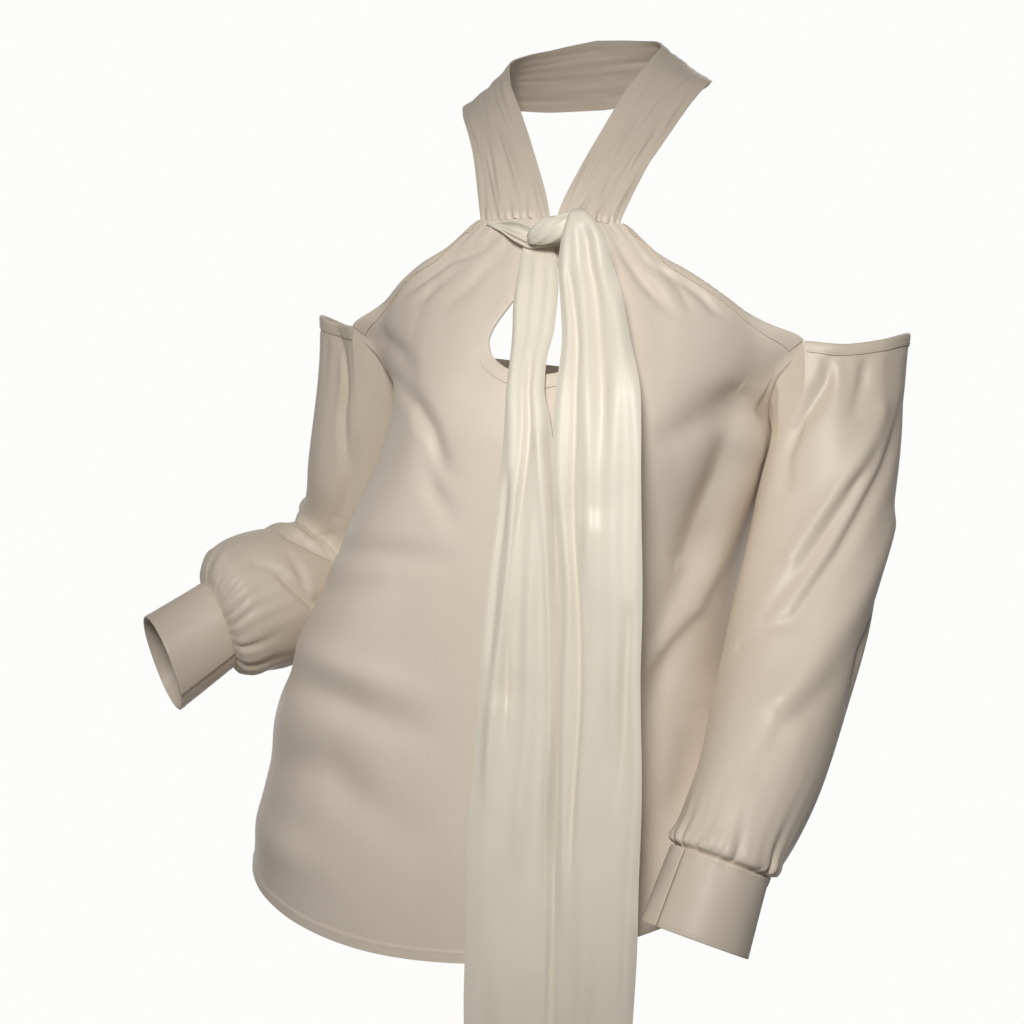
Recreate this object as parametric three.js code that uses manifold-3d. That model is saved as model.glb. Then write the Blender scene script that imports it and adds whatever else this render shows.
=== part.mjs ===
// A halter neck blouse of ivory satin with cold shoulders, full sleeves and a sash tied in front.
// Millimetres, +Z up, the front faces -Y, and +X is the wearer's left. The origin is the inner
// face of the neck band at the middle of the nape, where the wearer holds the blouse up.

import * as THREE from 'three';
import { mergeVertices } from 'three/addons/utils/BufferGeometryUtils.js';
import Module from 'manifold-3d';

// Cloth and seams
const clothWall = 1.2;
const seamGap = 0.3;
const sideSeamGap = 0.8;
const layerGap = 0.9;

// Body of the blouse
const midFrontX = 5.5;
const bodyMidY = -58;
const frontFullness = 2.2;
const backFullness = 2.1;
const shoulderTilt = 0.095;
const tiltFadesFrom = 300;
const tiltEndsAt = 550;
const sideSeamDeg = 96.4;

// Hem, a shirt tail that rises to the side seams
const frontHemDown = 660;
const backHemDown = 676;
const sideHemRise = 60;
const hemRiseDeg = 100;
const backHemPower = 2.4;

// Bust, shaped by the cut on a general figure
const bustOut = 9;
const bustX = 78;
const bustDown = 287;
const bustWide = 46;
const bustHigh = 52;

// How far the corners of the cold shoulders reach out past the body
const cornerReach = 24;
const cornerReachDown = 14;
const frontCornerWide = 0.075;
const backCornerWide = 0.16;

// Gathers
const neckGathers = 6;
const neckGatherOut = 1.9;
const neckGatherFade = 62;
const cuffGathers = 24;
const cuffGatherOut = 2.6;
const cuffGatherFade = 44;
const shoulderGathers = 9;
const shoulderGatherOut = 1.5;
const shoulderGatherFade = 26;

// Narrow trims
const bindingShare = 0.016;
const armBandShare = 0.02;
const cornerInset = 0.025;
const keyholeBindingWidth = 9;
const slitHalf = 2.2;

// Steps along the edges, shared by the pieces that meet there
const slopeSteps = 8;
const armholeSteps = 6;

// Sleeves
const sleeveLength = 430;
const bendShare = 0.14;
const bodyClearance = 4;

// Cuffs
const cuffDepth = 52;
const cuffTopRadius = 32;
const cuffEndRadius = 35;
const cuffLapDeg = 36;

// Level sections of the body, at a distance down from the nape: its reach to the wearer's
// right and left, its front at the middle and its back at the middle.
const bodyRows = [
  { down: 140, right: -101, left: 102, front: -147, back: 40 },
  { down: 148, right: -111, left: 112, front: -148.5, back: 42 },
  { down: 169, right: -134, left: 135, front: -154, back: 48 },
  { down: 180, right: -143, left: 144, front: -158, back: 52 },
  { down: 200, right: -150, left: 152, front: -165, back: 57 },
  { down: 222, right: -152, left: 155, front: -175, back: 62 },
  { down: 237, right: -150, left: 153, front: -182, back: 64 },
  { down: 252, right: -145, left: 150, front: -189, back: 66 },
  { down: 273, right: -137, left: 143, front: -199, back: 68 },
  { down: 290, right: -138, left: 144, front: -203, back: 69 },
  { down: 314, right: -145, left: 138, front: -205, back: 70 },
  { down: 385, right: -179, left: 118, front: -205, back: 72 },
  { down: 456, right: -215, left: 116, front: -205, back: 76 },
  { down: 513, right: -236.5, left: 123, front: -205, back: 82 },
  { down: 560, right: -244, left: 131, front: -205, back: 87 },
  { down: 612, right: -252.5, left: 139, front: -204, back: 91 },
  { down: 680, right: -260, left: 146, front: -202, back: 94 },
];

// The top edge of half a front panel, from the middle out: along the neck seam, down the bound
// slope to the corner of the cold shoulder, and down the armhole to the side seam.
// u is the place across the panel, deg the turn round the body, hemDeg where that thread ends.
const frontEdgeRows = [
  { u: 0, deg: 0, down: 146.5, hemDeg: 0 },
  { u: 0.25, deg: 26.1, down: 148.5, hemDeg: 44 },
  { u: 0.36, deg: 33.5, down: 169, hemDeg: 53 },
  { u: 0.44, deg: 42.3, down: 180.5, hemDeg: 59 },
  { u: 0.55, deg: 57.2, down: 200, hemDeg: 68 },
  { u: 0.63, deg: 66.4, down: 212, hemDeg: 73 },
  { u: 0.7, deg: 73, down: 222, hemDeg: 78 },
  { u: 0.76, deg: 75.9, down: 237, hemDeg: 82 },
  { u: 0.82, deg: 79.9, down: 252, hemDeg: 85 },
  { u: 0.92, deg: 89, down: 273, hemDeg: 91 },
  { u: 1, deg: sideSeamDeg, down: 290, hemDeg: sideSeamDeg },
];
const neckSeamU = 0.25;
const cornerU = 0.7;

// The top edge of half the back panel, from the middle out.
const backEdgeRows = [
  { u: 0, deg: 180, down: 229, hemDeg: 180 },
  { u: 0.25, deg: 158, down: 227.5, hemDeg: 158 },
  { u: 0.45, deg: 136, down: 225, hemDeg: 137 },
  { u: 0.6, deg: 118, down: 222, hemDeg: 121 },
  { u: 0.72, deg: 110, down: 243, hemDeg: 112 },
  { u: 0.86, deg: 103, down: 268, hemDeg: 104 },
  { u: 1, deg: sideSeamDeg, down: 290, hemDeg: sideSeamDeg },
];
const backCornerU = 0.6;

// The largest soft folds of the front, each along three points, in x and distance down.
// out is its height off the cloth, a trough when negative, and half its half width.
const frontFolds = [
  { x0: 152, down0: 262, x1: 134, down1: 286, x2: 92, down2: 304, out: -5, half: 12 },
  { x0: 140, down0: 318, x1: 122, down1: 372, x2: 96, down2: 424, out: -4, half: 12 },
  { x0: 146, down0: 296, x1: 126, down1: 362, x2: 82, down2: 462, out: 4, half: 9 },
  { x0: 104, down0: 436, x1: 92, down1: 470, x2: 76, down2: 506, out: -4, half: 12 },
  { x0: 110, down0: 498, x1: 101, down1: 536, x2: 88, down2: 580, out: -5, half: 14 },
  { x0: -132, down0: 246, x1: -104, down1: 268, x2: -72, down2: 314, out: -5, half: 11 },
  { x0: -84, down0: 304, x1: -72, down1: 332, x2: -60, down2: 360, out: -3, half: 12 },
  { x0: -186, down0: 370, x1: -128, down1: 384, x2: -66, down2: 394, out: -4, half: 14 },
  { x0: -214, down0: 416, x1: -162, down1: 414, x2: -112, down2: 402, out: 4, half: 13 },
  { x0: -240, down0: 476, x1: -196, down1: 500, x2: -120, down2: 560, out: -6, half: 20 },
  { x0: -252, down0: 560, x1: -214, down1: 590, x2: -160, down2: 612, out: 5, half: 20 },
];

// Similar soft folds on the back, which hangs from the straight edge between the armholes.
const backFolds = [
  { x0: 128, down0: 262, x1: 112, down1: 350, x2: 92, down2: 470, out: -5, half: 15 },
  { x0: 58, down0: 300, x1: 44, down1: 410, x2: 30, down2: 560, out: 4, half: 18 },
  { x0: -24, down0: 280, x1: -40, down1: 390, x2: -52, down2: 520, out: -4, half: 17 },
  { x0: -118, down0: 258, x1: -134, down1: 350, x2: -150, down2: 480, out: -5, half: 16 },
  { x0: -170, down0: 400, x1: -196, down1: 480, x2: -214, down2: 600, out: 5, half: 18 },
  { x0: 100, down0: 520, x1: 84, down1: 580, x2: 74, down2: 650, out: 4, half: 18 },
];

// Half the keyhole and the slit above it, as a half width at each distance down.
const keyholeRows = [
  { down: 176, half: slitHalf },
  { down: 189, half: 12.5 },
  { down: 206, half: 22 },
  { down: 225, half: 33 },
  { down: 234, half: 36.6 },
  { down: 242, half: 37.4 },
  { down: 252, half: 33.5 },
  { down: 260, half: 24 },
  { down: 264.5, half: 12 },
  { down: 266, half: 0 },
];

// Half the neck band from the neck seam to the nape, by its two edges: out is the edge nearer
// the shoulder and in the edge at the throat. pleat is how deep its lengthwise pleats are there.
const neckRows = [
  { at: 0, outX: 51.5, outY: -140.5, outZ: -147.6, inX: 2.6, inY: -148.5, inZ: -145.8, pleat: 1 },
  { at: 0.1, outX: 57.5, outY: -130, outZ: -127, inX: 6.5, inY: -142, inZ: -131, pleat: 1 },
  { at: 0.22, outX: 67, outY: -113, outZ: -97, inX: 15, inY: -129, inZ: -107, pleat: 0.9 },
  { at: 0.34, outX: 80, outY: -90, outZ: -67, inX: 26, inY: -112, inZ: -79, pleat: 0.8 },
  { at: 0.46, outX: 92, outY: -66, outZ: -42, inX: 40, inY: -91, inZ: -46, pleat: 0.7 },
  { at: 0.57, outX: 98, outY: -44, outZ: -27, inX: 53, inY: -70, inZ: -19, pleat: 0.6 },
  { at: 0.68, outX: 92, outY: -18, outZ: -20, inX: 60, inY: -46, inZ: 3, pleat: 0.5 },
  { at: 0.79, outX: 72, outY: 3, outZ: -20, inX: 53, inY: -26, inZ: 14, pleat: 0.4 },
  { at: 0.9, outX: 40, outY: 12, outZ: -22, inX: 31, inY: -14, inZ: 21, pleat: 0.4 },
  { at: 1, outX: 0, outY: 11.5, outZ: -24, inX: 0, inY: -12, inZ: 25, pleat: 0.4 },
];
const neckPleats = 5;
const neckPleatOut = 2.2;

// The line that each sleeve follows, as centres of its rings and their radius.
const leftSleeveRows = [
  { at: 0, x: 193, y: -49, z: -238, radius: 50 },
  { at: 0.14, x: 189, y: -57, z: -293, radius: 48 },
  { at: 0.3, x: 181, y: -72, z: -359, radius: 48 },
  { at: 0.45, x: 171.5, y: -94, z: -417, radius: 48 },
  { at: 0.62, x: 158.5, y: -128, z: -487, radius: 44.5 },
  { at: 0.77, x: 148.5, y: -158, z: -537, radius: 40.5 },
  { at: 0.9, x: 137.5, y: -184, z: -570, radius: 37 },
  { at: 1, x: 131, y: -195, z: -586, radius: 32 },
];
const rightSleeveRows = [
  { at: 0, x: -182, y: -47, z: -229, radius: 48 },
  { at: 0.12, x: -187, y: -30, z: -275, radius: 47 },
  { at: 0.25, x: -197, y: -7, z: -317, radius: 47 },
  { at: 0.38, x: -211, y: 17, z: -352, radius: 51 },
  { at: 0.51, x: -230, y: 22, z: -385, radius: 55 },
  { at: 0.66, x: -251, y: -7, z: -406, radius: 57 },
  { at: 0.82, x: -267, y: -47, z: -415, radius: 55.5 },
  { at: 0.93, x: -278, y: -70, z: -423, radius: 48.5 },
  { at: 1, x: -289, y: -84, z: -435, radius: 33 },
];

// The top edge of the outer half of each sleeve, between its front and back corners.
// turn is the way round that half, and the last two columns are the place off the corner line.
const leftArmRows = [
  { turn: 0, x: 0, y: 0, rise: 0 },
  { turn: 0.2, x: 27, y: -14, rise: -3 },
  { turn: 0.4, x: 56, y: -18, rise: 1 },
  { turn: 0.55, x: 73, y: -2, rise: 9 },
  { turn: 0.7, x: 62, y: 13, rise: 9 },
  { turn: 0.86, x: 38, y: 17, rise: 4 },
  { turn: 1, x: 0, y: 0, rise: 0 },
];
const rightArmRows = [
  { turn: 0, x: 0, y: 0, rise: 0 },
  { turn: 0.2, x: -17, y: -7, rise: 5 },
  { turn: 0.4, x: -40, y: -14, rise: 13 },
  { turn: 0.55, x: -52, y: -2, rise: 20 },
  { turn: 0.7, x: -47, y: 12, rise: 17 },
  { turn: 0.86, x: -27, y: 15, rise: 8 },
  { turn: 1, x: 0, y: 0, rise: 0 },
];

// The largest folds of each sleeve, along its length and round it, where turn 0 is in front
// and turn 0.25 outside. out is a trough when negative.
const leftSleeveFolds = [
  { at0: 0.06, turn0: 0.08, at1: 0.26, turn1: -0.06, out: -5, half: 10 },
  { at0: 0.04, turn0: 0.16, at1: 0.2, turn1: 0.12, out: -3.5, half: 8 },
  { at0: 0.16, turn0: 0.22, at1: 0.5, turn1: -0.06, out: -5, half: 9 },
  { at0: 0.12, turn0: 0.16, at1: 0.42, turn1: -0.02, out: 3.5, half: 8 },
  { at0: 0.3, turn0: 0.3, at1: 0.66, turn1: 0.1, out: 4, half: 13 },
  { at0: 0.2, turn0: 0.6, at1: 0.6, turn1: 0.44, out: -5, half: 12 },
];
const rightSleeveFolds = [
  { at0: 0.05, turn0: 0.1, at1: 0.3, turn1: 0.07, out: -4.5, half: 8 },
  { at0: 0.1, turn0: 0.0, at1: 0.34, turn1: 0.02, out: -4.5, half: 8 },
  { at0: 0.38, turn0: 0.3, at1: 0.4, turn1: 0.1, out: 5, half: 9 },
  { at0: 0.46, turn0: 0.26, at1: 0.47, turn1: 0.0, out: -6, half: 8 },
  { at0: 0.7, turn0: 0.02, at1: 0.84, turn1: 0.14, out: -5, half: 9 },
  { at0: 0.2, turn0: 0.6, at1: 0.55, turn1: 0.5, out: -4, half: 11 },
];

// The two tails of the sash, by their edges at each height.
const rightTailRows = [
  { z: -166, x0: -13, x1: 9, y: -158.3, fold: 0.6 },
  { z: -172, x0: -14.5, x1: 9.5, y: -160.2, fold: 0.8 },
  { z: -182, x0: -14.5, x1: 12, y: -166.5, fold: 2 },
  { z: -210, x0: -15.2, x1: 14.5, y: -178, fold: 3 },
  { z: -235, x0: -13, x1: 15.3, y: -189, fold: 3 },
  { z: -255, x0: -11, x1: 17, y: -199, fold: 3 },
  { z: -276, x0: -10, x1: 19.5, y: -208, fold: 3 },
  { z: -298, x0: -9.4, x1: 22, y: -213, fold: 3 },
  { z: -345, x0: -14, x1: 23, y: -217, fold: 4 },
  { z: -391, x0: -19, x1: 24, y: -218, fold: 4.2 },
  { z: -444, x0: -25, x1: 25.5, y: -218, fold: 4.2 },
  { z: -524, x0: -30, x1: 24, y: -218, fold: 4.2 },
  { z: -590, x0: -34.5, x1: 22.5, y: -218, fold: 4 },
  { z: -655, x0: -36, x1: 22, y: -219, fold: 3.6 },
  { z: -736, x0: -35, x1: 21, y: -220, fold: 3.2 },
];
const leftTailRows = [
  { z: -147.5, x0: 27, x1: 33, y: -169, fold: 0.5 },
  { z: -149.5, x0: 26, x1: 35.5, y: -178, fold: 1 },
  { z: -154, x0: 25.5, x1: 40, y: -184, fold: 1.5 },
  { z: -162, x0: 26, x1: 47, y: -186, fold: 2 },
  { z: -173, x0: 26, x1: 53.5, y: -187, fold: 2.6 },
  { z: -189, x0: 27.5, x1: 58, y: -188, fold: 3 },
  { z: -210, x0: 27, x1: 66, y: -192, fold: 3.4 },
  { z: -247, x0: 28, x1: 75, y: -204, fold: 3.8 },
  { z: -288, x0: 28, x1: 84, y: -216, fold: 4.2 },
  { z: -341, x0: 28, x1: 86, y: -219, fold: 4.4 },
  { z: -418, x0: 29, x1: 85, y: -219, fold: 4.4 },
  { z: -483, x0: 30, x1: 85, y: -219, fold: 4.4 },
  { z: -548, x0: 28, x1: 84, y: -219, fold: 4.4 },
  { z: -620, x0: 27, x1: 82.5, y: -220, fold: 4 },
  { z: -691, x0: 25, x1: 77.5, y: -221, fold: 3.6 },
  { z: -750, x0: 24, x1: 75, y: -221, fold: 3.4 },
];

// The stretch of the sash from the wearer's right neck seam to the knot, by its edges.
const knotBandRows = [
  { x: -46, topZ: -144.8, lowZ: -147.8, y: -144.9, belly: 0.5 },
  { x: -33, topZ: -147.8, lowZ: -155, y: -150.8, belly: 2 },
  { x: -18.5, topZ: -150.3, lowZ: -165.7, y: -157.5, belly: 4 },
  { x: -5, topZ: -156.4, lowZ: -171.7, y: -161.2, belly: 4 },
  { x: 6, topZ: -160, lowZ: -171.5, y: -163, belly: 2.5 },
  { x: 16, topZ: -163, lowZ: -170.5, y: -163.5, belly: 1 },
];

// The roll of cloth across the knot, by its centre and its half height and half depth.
const knotRollRows = [
  { x: -8, y: -167.7, z: -164.5, high: 2.5, deep: 1.5 },
  { x: -3, y: -170.7, z: -164, high: 6, deep: 4 },
  { x: 7.5, y: -172.7, z: -162, high: 9, deep: 6 },
  { x: 17.5, y: -173.2, z: -161.5, high: 9.5, deep: 6.5 },
  { x: 28, y: -172.3, z: -159, high: 9, deep: 5.5 },
  { x: 34, y: -171.2, z: -157.3, high: 7, deep: 4.5 },
  { x: 38, y: -169.7, z: -156.8, high: 2.5, deep: 2 },
];

const leftArm = {
  side: 1,
  rows: leftSleeveRows,
  folds: leftSleeveFolds,
  edge: leftArmRows,
  cuffEnd: { x: 116.5, y: -206.5, z: -635 },
  cuffFacing: { x: -0.28, y: -0.22, z: -0.93 },
  lapDeg: 290,
  lapWay: 1,
  ovalShare: 0,
  ovalDeg: 0,
};
const rightArm = {
  side: -1,
  rows: rightSleeveRows,
  folds: rightSleeveFolds,
  edge: rightArmRows,
  cuffEnd: { x: -326, y: -117, z: -469 },
  cuffFacing: { x: -0.7, y: -0.62, z: -0.36 },
  lapDeg: 284,
  lapWay: -1,
  ovalShare: 0.11,
  ovalDeg: 20,
};

const bodySatin = { color: 0xe6dccd, roughness: 0.42, metalness: 0 };
const sleeveSatin = { color: 0xd9cebb, roughness: 0.45, metalness: 0 };
const sashSatin = { color: 0xefe8d6, roughness: 0.4, metalness: 0 };

function point(x, y, z) {
  return new THREE.Vector3(x, y, z);
}

function ease(amount) {
  const t = THREE.MathUtils.clamp(amount, 0, 1);
  return t * t * (3 - 2 * t);
}

function mix(a, b, amount) {
  return a + (b - a) * amount;
}

// A column of a table read smoothly between its rows.
function readColumn(rows, key, value, column) {
  const rising = rows[1][key] > rows[0][key];
  const last = rows.length - 1;
  const sign = rising ? 1 : -1;
  if (sign * value <= sign * rows[0][key]) return rows[0][column];
  if (sign * value >= sign * rows[last][key]) return rows[last][column];
  let i = 0;
  while (sign * rows[i + 1][key] < sign * value) i += 1;
  const step = (n) => (rows[n + 1][column] - rows[n][column]) / (rows[n + 1][key] - rows[n][key]);
  const slope = (n) => {
    if (n === 0) return step(0);
    if (n === last) return step(last - 1);
    const before = step(n - 1);
    const after = step(n);
    return before * after <= 0 ? 0 : (2 * before * after) / (before + after);
  };
  const gap = rows[i + 1][key] - rows[i][key];
  const t = (value - rows[i][key]) / gap;
  const t2 = t * t;
  const t3 = t2 * t;
  return (2 * t3 - 3 * t2 + 1) * rows[i][column] + (t3 - 2 * t2 + t) * gap * slope(i)
    + (3 * t2 - 2 * t3) * rows[i + 1][column] + (t3 - t2) * gap * slope(i + 1);
}

// How far a set of folds lifts the cloth at one place.
function foldLift(folds, x, down) {
  let lift = 0;
  for (const fold of folds) {
    const line = [[fold.x0, fold.down0], [fold.x1, fold.down1], [fold.x2, fold.down2]];
    let nearest = Infinity;
    let place = 0;
    for (let i = 0; i < 2; i += 1) {
      const runX = line[i + 1][0] - line[i][0];
      const runDown = line[i + 1][1] - line[i][1];
      const along = ((x - line[i][0]) * runX + (down - line[i][1]) * runDown)
        / (runX * runX + runDown * runDown);
      const t = THREE.MathUtils.clamp(along, 0, 1);
      const away = Math.hypot(x - line[i][0] - runX * t, down - line[i][1] - runDown * t);
      if (away < nearest) {
        nearest = away;
        place = (i + t) / 2;
      }
    }
    const endFade = 0.35 + 0.65 * Math.sin(Math.PI * THREE.MathUtils.clamp(place, 0.02, 0.98));
    lift += fold.out * endFade * Math.exp(-((nearest / fold.half) ** 2));
  }
  return lift;
}

function tiltAt(down) {
  return shoulderTilt * (1 - ease((down - tiltFadesFrom) / (tiltEndsAt - tiltFadesFrom)));
}

// A point on the body's surface, with no folds: deg is the turn from the front, to +X.
function bodySkin(deg, down) {
  const right = readColumn(bodyRows, 'down', down, 'right');
  const left = readColumn(bodyRows, 'down', down, 'left');
  const front = readColumn(bodyRows, 'down', down, 'front');
  const back = readColumn(bodyRows, 'down', down, 'back');
  const turn = THREE.MathUtils.degToRad(deg);
  const isFront = Math.cos(turn) >= 0;
  const fullness = isFront ? frontFullness : backFullness;
  const side = Math.sign(Math.sin(turn)) * Math.abs(Math.sin(turn)) ** (2 / fullness);
  const depth = Math.abs(Math.cos(turn)) ** (2 / fullness);
  const x = (left + right) / 2 + ((left - right) / 2) * side;
  let y = bodyMidY + (isFront ? front - bodyMidY : back - bodyMidY) * depth;
  if (isFront) {
    for (const cup of [-bustX, bustX]) {
      const offX = (x - cup) / bustWide;
      const offDown = (down - bustDown) / bustHigh;
      y -= bustOut * Math.exp(-offX * offX - offDown * offDown);
    }
  }
  return point(x, y, -down - tiltAt(down) * x);
}

// The same point moved out from the body.
function bodyPoint(deg, down, out = 0) {
  const across = bodySkin(deg + 1, down).sub(bodySkin(deg - 1, down));
  const downward = bodySkin(deg, down + 2).sub(bodySkin(deg, down - 2));
  const normal = downward.cross(across).normalize();
  return bodySkin(deg, down).addScaledVector(normal, out);
}

// Where a thread of the front panel lies: u across from -1 to 1, and v down from edge to hem.
function frontPlace(u, v) {
  const side = u < 0 ? -1 : 1;
  const edge = Math.abs(u);
  const fan = 1 - (1 - v) ** 5;
  const topDeg = readColumn(frontEdgeRows, 'u', edge, 'deg');
  const hemDeg = readColumn(frontEdgeRows, 'u', edge, 'hemDeg');
  const deg = side * mix(topDeg, hemDeg, fan);
  const top = readColumn(frontEdgeRows, 'u', edge, 'down');
  const hem = frontHemDown - sideHemRise * ease(hemDeg / hemRiseDeg);
  return { deg, down: mix(top, hem, v), top };
}

// A point drawn out to the side near the corner of the cold shoulder.
function reachOut(spot, u, corner, wide, fromSeam) {
  const near = ((Math.abs(u) - corner) / wide) ** 2 + fromSeam / cornerReachDown;
  spot.x += Math.sign(u) * cornerReach * Math.exp(-near);
  return spot;
}

function neckGather(u, fromSeam) {
  const edge = Math.abs(u) / neckSeamU;
  if (edge >= 1) return 0;
  const wave = 0.5 - 0.5 * Math.cos(2 * Math.PI * neckGathers * edge);
  const uneven = 0.75 + 0.35 * Math.sin(17 * u + 1);
  const clearOfSlit = ease((edge - 0.12) / 0.2);
  return neckGatherOut * wave * uneven * clearOfSlit * Math.exp(-fromSeam / neckGatherFade);
}

function frontPoint(u, v, out = 0) {
  const place = frontPlace(u, v);
  const x = bodySkin(place.deg, place.down).x;
  const edgeFade = ease((place.down - place.top) / 30);
  const lift = foldLift(frontFolds, x, place.down) * edgeFade
    + neckGather(u, place.down - place.top);
  const spot = bodyPoint(place.deg, place.down, out + lift);
  return reachOut(spot, u, cornerU, frontCornerWide, place.down - place.top);
}

function backPlace(u, v) {
  const edge = Math.abs(u);
  const topDeg = readColumn(backEdgeRows, 'u', edge, 'deg');
  const hemDeg = readColumn(backEdgeRows, 'u', edge, 'hemDeg');
  const turned = mix(topDeg, hemDeg, v);
  const deg = u < 0 ? 360 - turned : turned;
  const top = readColumn(backEdgeRows, 'u', edge, 'down');
  const sideHem = frontHemDown - sideHemRise * ease(sideSeamDeg / hemRiseDeg);
  const middle = (hemDeg - sideSeamDeg) / (180 - sideSeamDeg);
  const hem = mix(sideHem, backHemDown, 1 - (1 - middle) ** backHemPower);
  return { deg, down: mix(top, hem, v), top };
}

function backPoint(u, v, out = 0) {
  const place = backPlace(u, v);
  const x = bodySkin(place.deg, place.down).x;
  const edgeFade = ease((place.down - place.top) / 30) * ease((1 - Math.abs(u)) / 0.2);
  const lift = foldLift(backFolds, x, place.down) * edgeFade;
  const spot = bodyPoint(place.deg, place.down, out + lift);
  return reachOut(spot, u, backCornerU, backCornerWide, place.down - place.top);
}

// How far the body reaches to one side at a given depth, or null where it has no cloth.
function bodySideX(side, y, down) {
  const right = readColumn(bodyRows, 'down', down, 'right');
  const left = readColumn(bodyRows, 'down', down, 'left');
  const front = readColumn(bodyRows, 'down', down, 'front');
  const back = readColumn(bodyRows, 'down', down, 'back');
  const isFront = y < bodyMidY;
  const fullness = isFront ? frontFullness : backFullness;
  const depth = (y - bodyMidY) / ((isFront ? front : back) - bodyMidY);
  if (depth >= 1) return null;
  const reach = (1 - depth ** fullness) ** (1 / fullness);
  return (left + right) / 2 + side * ((left - right) / 2) * reach;
}

// A closed wall from a grid of points on its outer face. rows runs along the piece, and a ring
// grid closes on itself across.
function wallGeometry(rows, wall, ring = false) {
  const rowCount = rows.length;
  const columnCount = rows[0].length;
  const outer = rows.flat();
  const index = (i, j) => i * columnCount + ((j + columnCount) % columnCount);
  const normals = [];
  for (let i = 0; i < rowCount; i += 1) {
    for (let j = 0; j < columnCount; j += 1) {
      const above = outer[index(Math.max(i - 1, 0), j)];
      const below = outer[index(Math.min(i + 1, rowCount - 1), j)];
      const before = outer[index(i, ring ? j - 1 : Math.max(j - 1, 0))];
      const after = outer[index(i, ring ? j + 1 : Math.min(j + 1, columnCount - 1))];
      const along = below.clone().sub(above);
      normals.push(along.cross(after.clone().sub(before)).normalize());
    }
  }
  const inner = outer.map((p, n) => p.clone().addScaledVector(normals[n], -wall));
  const all = outer.concat(inner);
  const under = outer.length;
  const faces = [];
  const quad = (a, b, c, d) => faces.push(a, b, c, a, c, d);
  const columns = ring ? columnCount : columnCount - 1;
  for (let i = 0; i < rowCount - 1; i += 1) {
    for (let j = 0; j < columns; j += 1) {
      const a = index(i, j);
      const b = index(i + 1, j);
      const c = index(i + 1, j + 1);
      const d = index(i, j + 1);
      if (outer[a].distanceTo(outer[c]) <= outer[b].distanceTo(outer[d])) {
        quad(a, b, c, d);
        quad(a + under, d + under, c + under, b + under);
      } else {
        quad(b, c, d, a);
        quad(b + under, a + under, d + under, c + under);
      }
    }
  }
  for (let j = 0; j < columns; j += 1) {
    const a = index(0, j);
    const b = index(0, j + 1);
    quad(a, b, b + under, a + under);
    const c = index(rowCount - 1, j);
    const d = index(rowCount - 1, j + 1);
    quad(d, c, c + under, d + under);
  }
  if (!ring) {
    for (let i = 0; i < rowCount - 1; i += 1) {
      const a = index(i, 0);
      const b = index(i + 1, 0);
      quad(b, a, a + under, b + under);
      const c = index(i, columnCount - 1);
      const d = index(i + 1, columnCount - 1);
      quad(c, d, d + under, c + under);
    }
  }
  return closedGeometry(all, faces);
}

// A closed body from points and triangles, turned so that its faces point out.
function closedGeometry(points, faces) {
  let volume = 0;
  for (let n = 0; n < faces.length; n += 3) {
    const [a, b, c] = [points[faces[n]], points[faces[n + 1]], points[faces[n + 2]]];
    volume += a.dot(b.clone().cross(c));
  }
  const ordered = [];
  for (let n = 0; n < faces.length; n += 3) {
    if (volume > 0) ordered.push(faces[n], faces[n + 1], faces[n + 2]);
    else ordered.push(faces[n], faces[n + 2], faces[n + 1]);
  }
  const geometry = new THREE.BufferGeometry();
  const places = new Float32Array(points.flatMap((p) => [p.x, p.y, p.z]));
  geometry.setAttribute('position', new THREE.BufferAttribute(places, 3));
  geometry.setIndex(ordered);
  geometry.computeVertexNormals();
  return geometry;
}

function mesh(name, geometry, look) {
  const piece = new THREE.Mesh(geometry, new THREE.MeshStandardMaterial(look));
  piece.name = name;
  return piece;
}

// A grid that runs to the wearer's right is turned about, so that its wall lies inside.
function facing(grid, side) {
  return side > 0 ? grid : grid.map((row) => row.slice().reverse());
}

function range(count, from = 0, to = 1) {
  return Array.from({ length: count + 1 }, (_, n) => mix(from, to, n / count));
}

// The front panel before its keyhole is cut
function frontSheet() {
  const halfColumns = [
    ...range(2 * neckGathers, 0, neckSeamU),
    ...range(slopeSteps, neckSeamU, cornerU).slice(1),
    ...range(armholeSteps, cornerU, 1).slice(1),
  ];
  const columns = [...halfColumns.slice(1).reverse().map((u) => -u), ...halfColumns];
  const rows = [0, bindingShare, 0.05, 0.09, 0.14, 0.19, 0.24, 0.3, 0.38, 0.47, 0.57, 0.68, 0.79, 0.9, 1];
  return wallGeometry(rows.map((v) => columns.map((u) => frontPoint(u, v))), clothWall);
}

// Front panel, with the keyhole and the slit above it cut through
function frontPanel(wasm, sheet) {
  const cutter = toManifold(wasm, keyholeCutter());
  return mesh('front', fromManifold(toManifold(wasm, sheet).subtract(cutter)), bodySatin);
}

// The outline of the keyhole from the slit round the bottom and up, as x and distance down.
// grow moves it outwards for the edge of the binding.
function keyholeOutline(steps, grow = 0) {
  const left = keyholeRows.map((row) => new THREE.Vector2(midFrontX + row.half, row.down));
  const right = keyholeRows.slice(0, -1).reverse()
    .map((row) => new THREE.Vector2(midFrontX - row.half, row.down));
  const slitTop = frontEdgeRows[0].down + 2;
  const points = [new THREE.Vector2(midFrontX + slitHalf, slitTop), ...left, ...right,
    new THREE.Vector2(midFrontX - slitHalf, slitTop)];
  const curve = new THREE.SplineCurve(points);
  return range(steps).map((t) => {
    const place = curve.getPointAt(t);
    const tangent = curve.getTangentAt(t);
    return new THREE.Vector2(place.x + tangent.y * grow, place.y - tangent.x * grow);
  });
}

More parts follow.
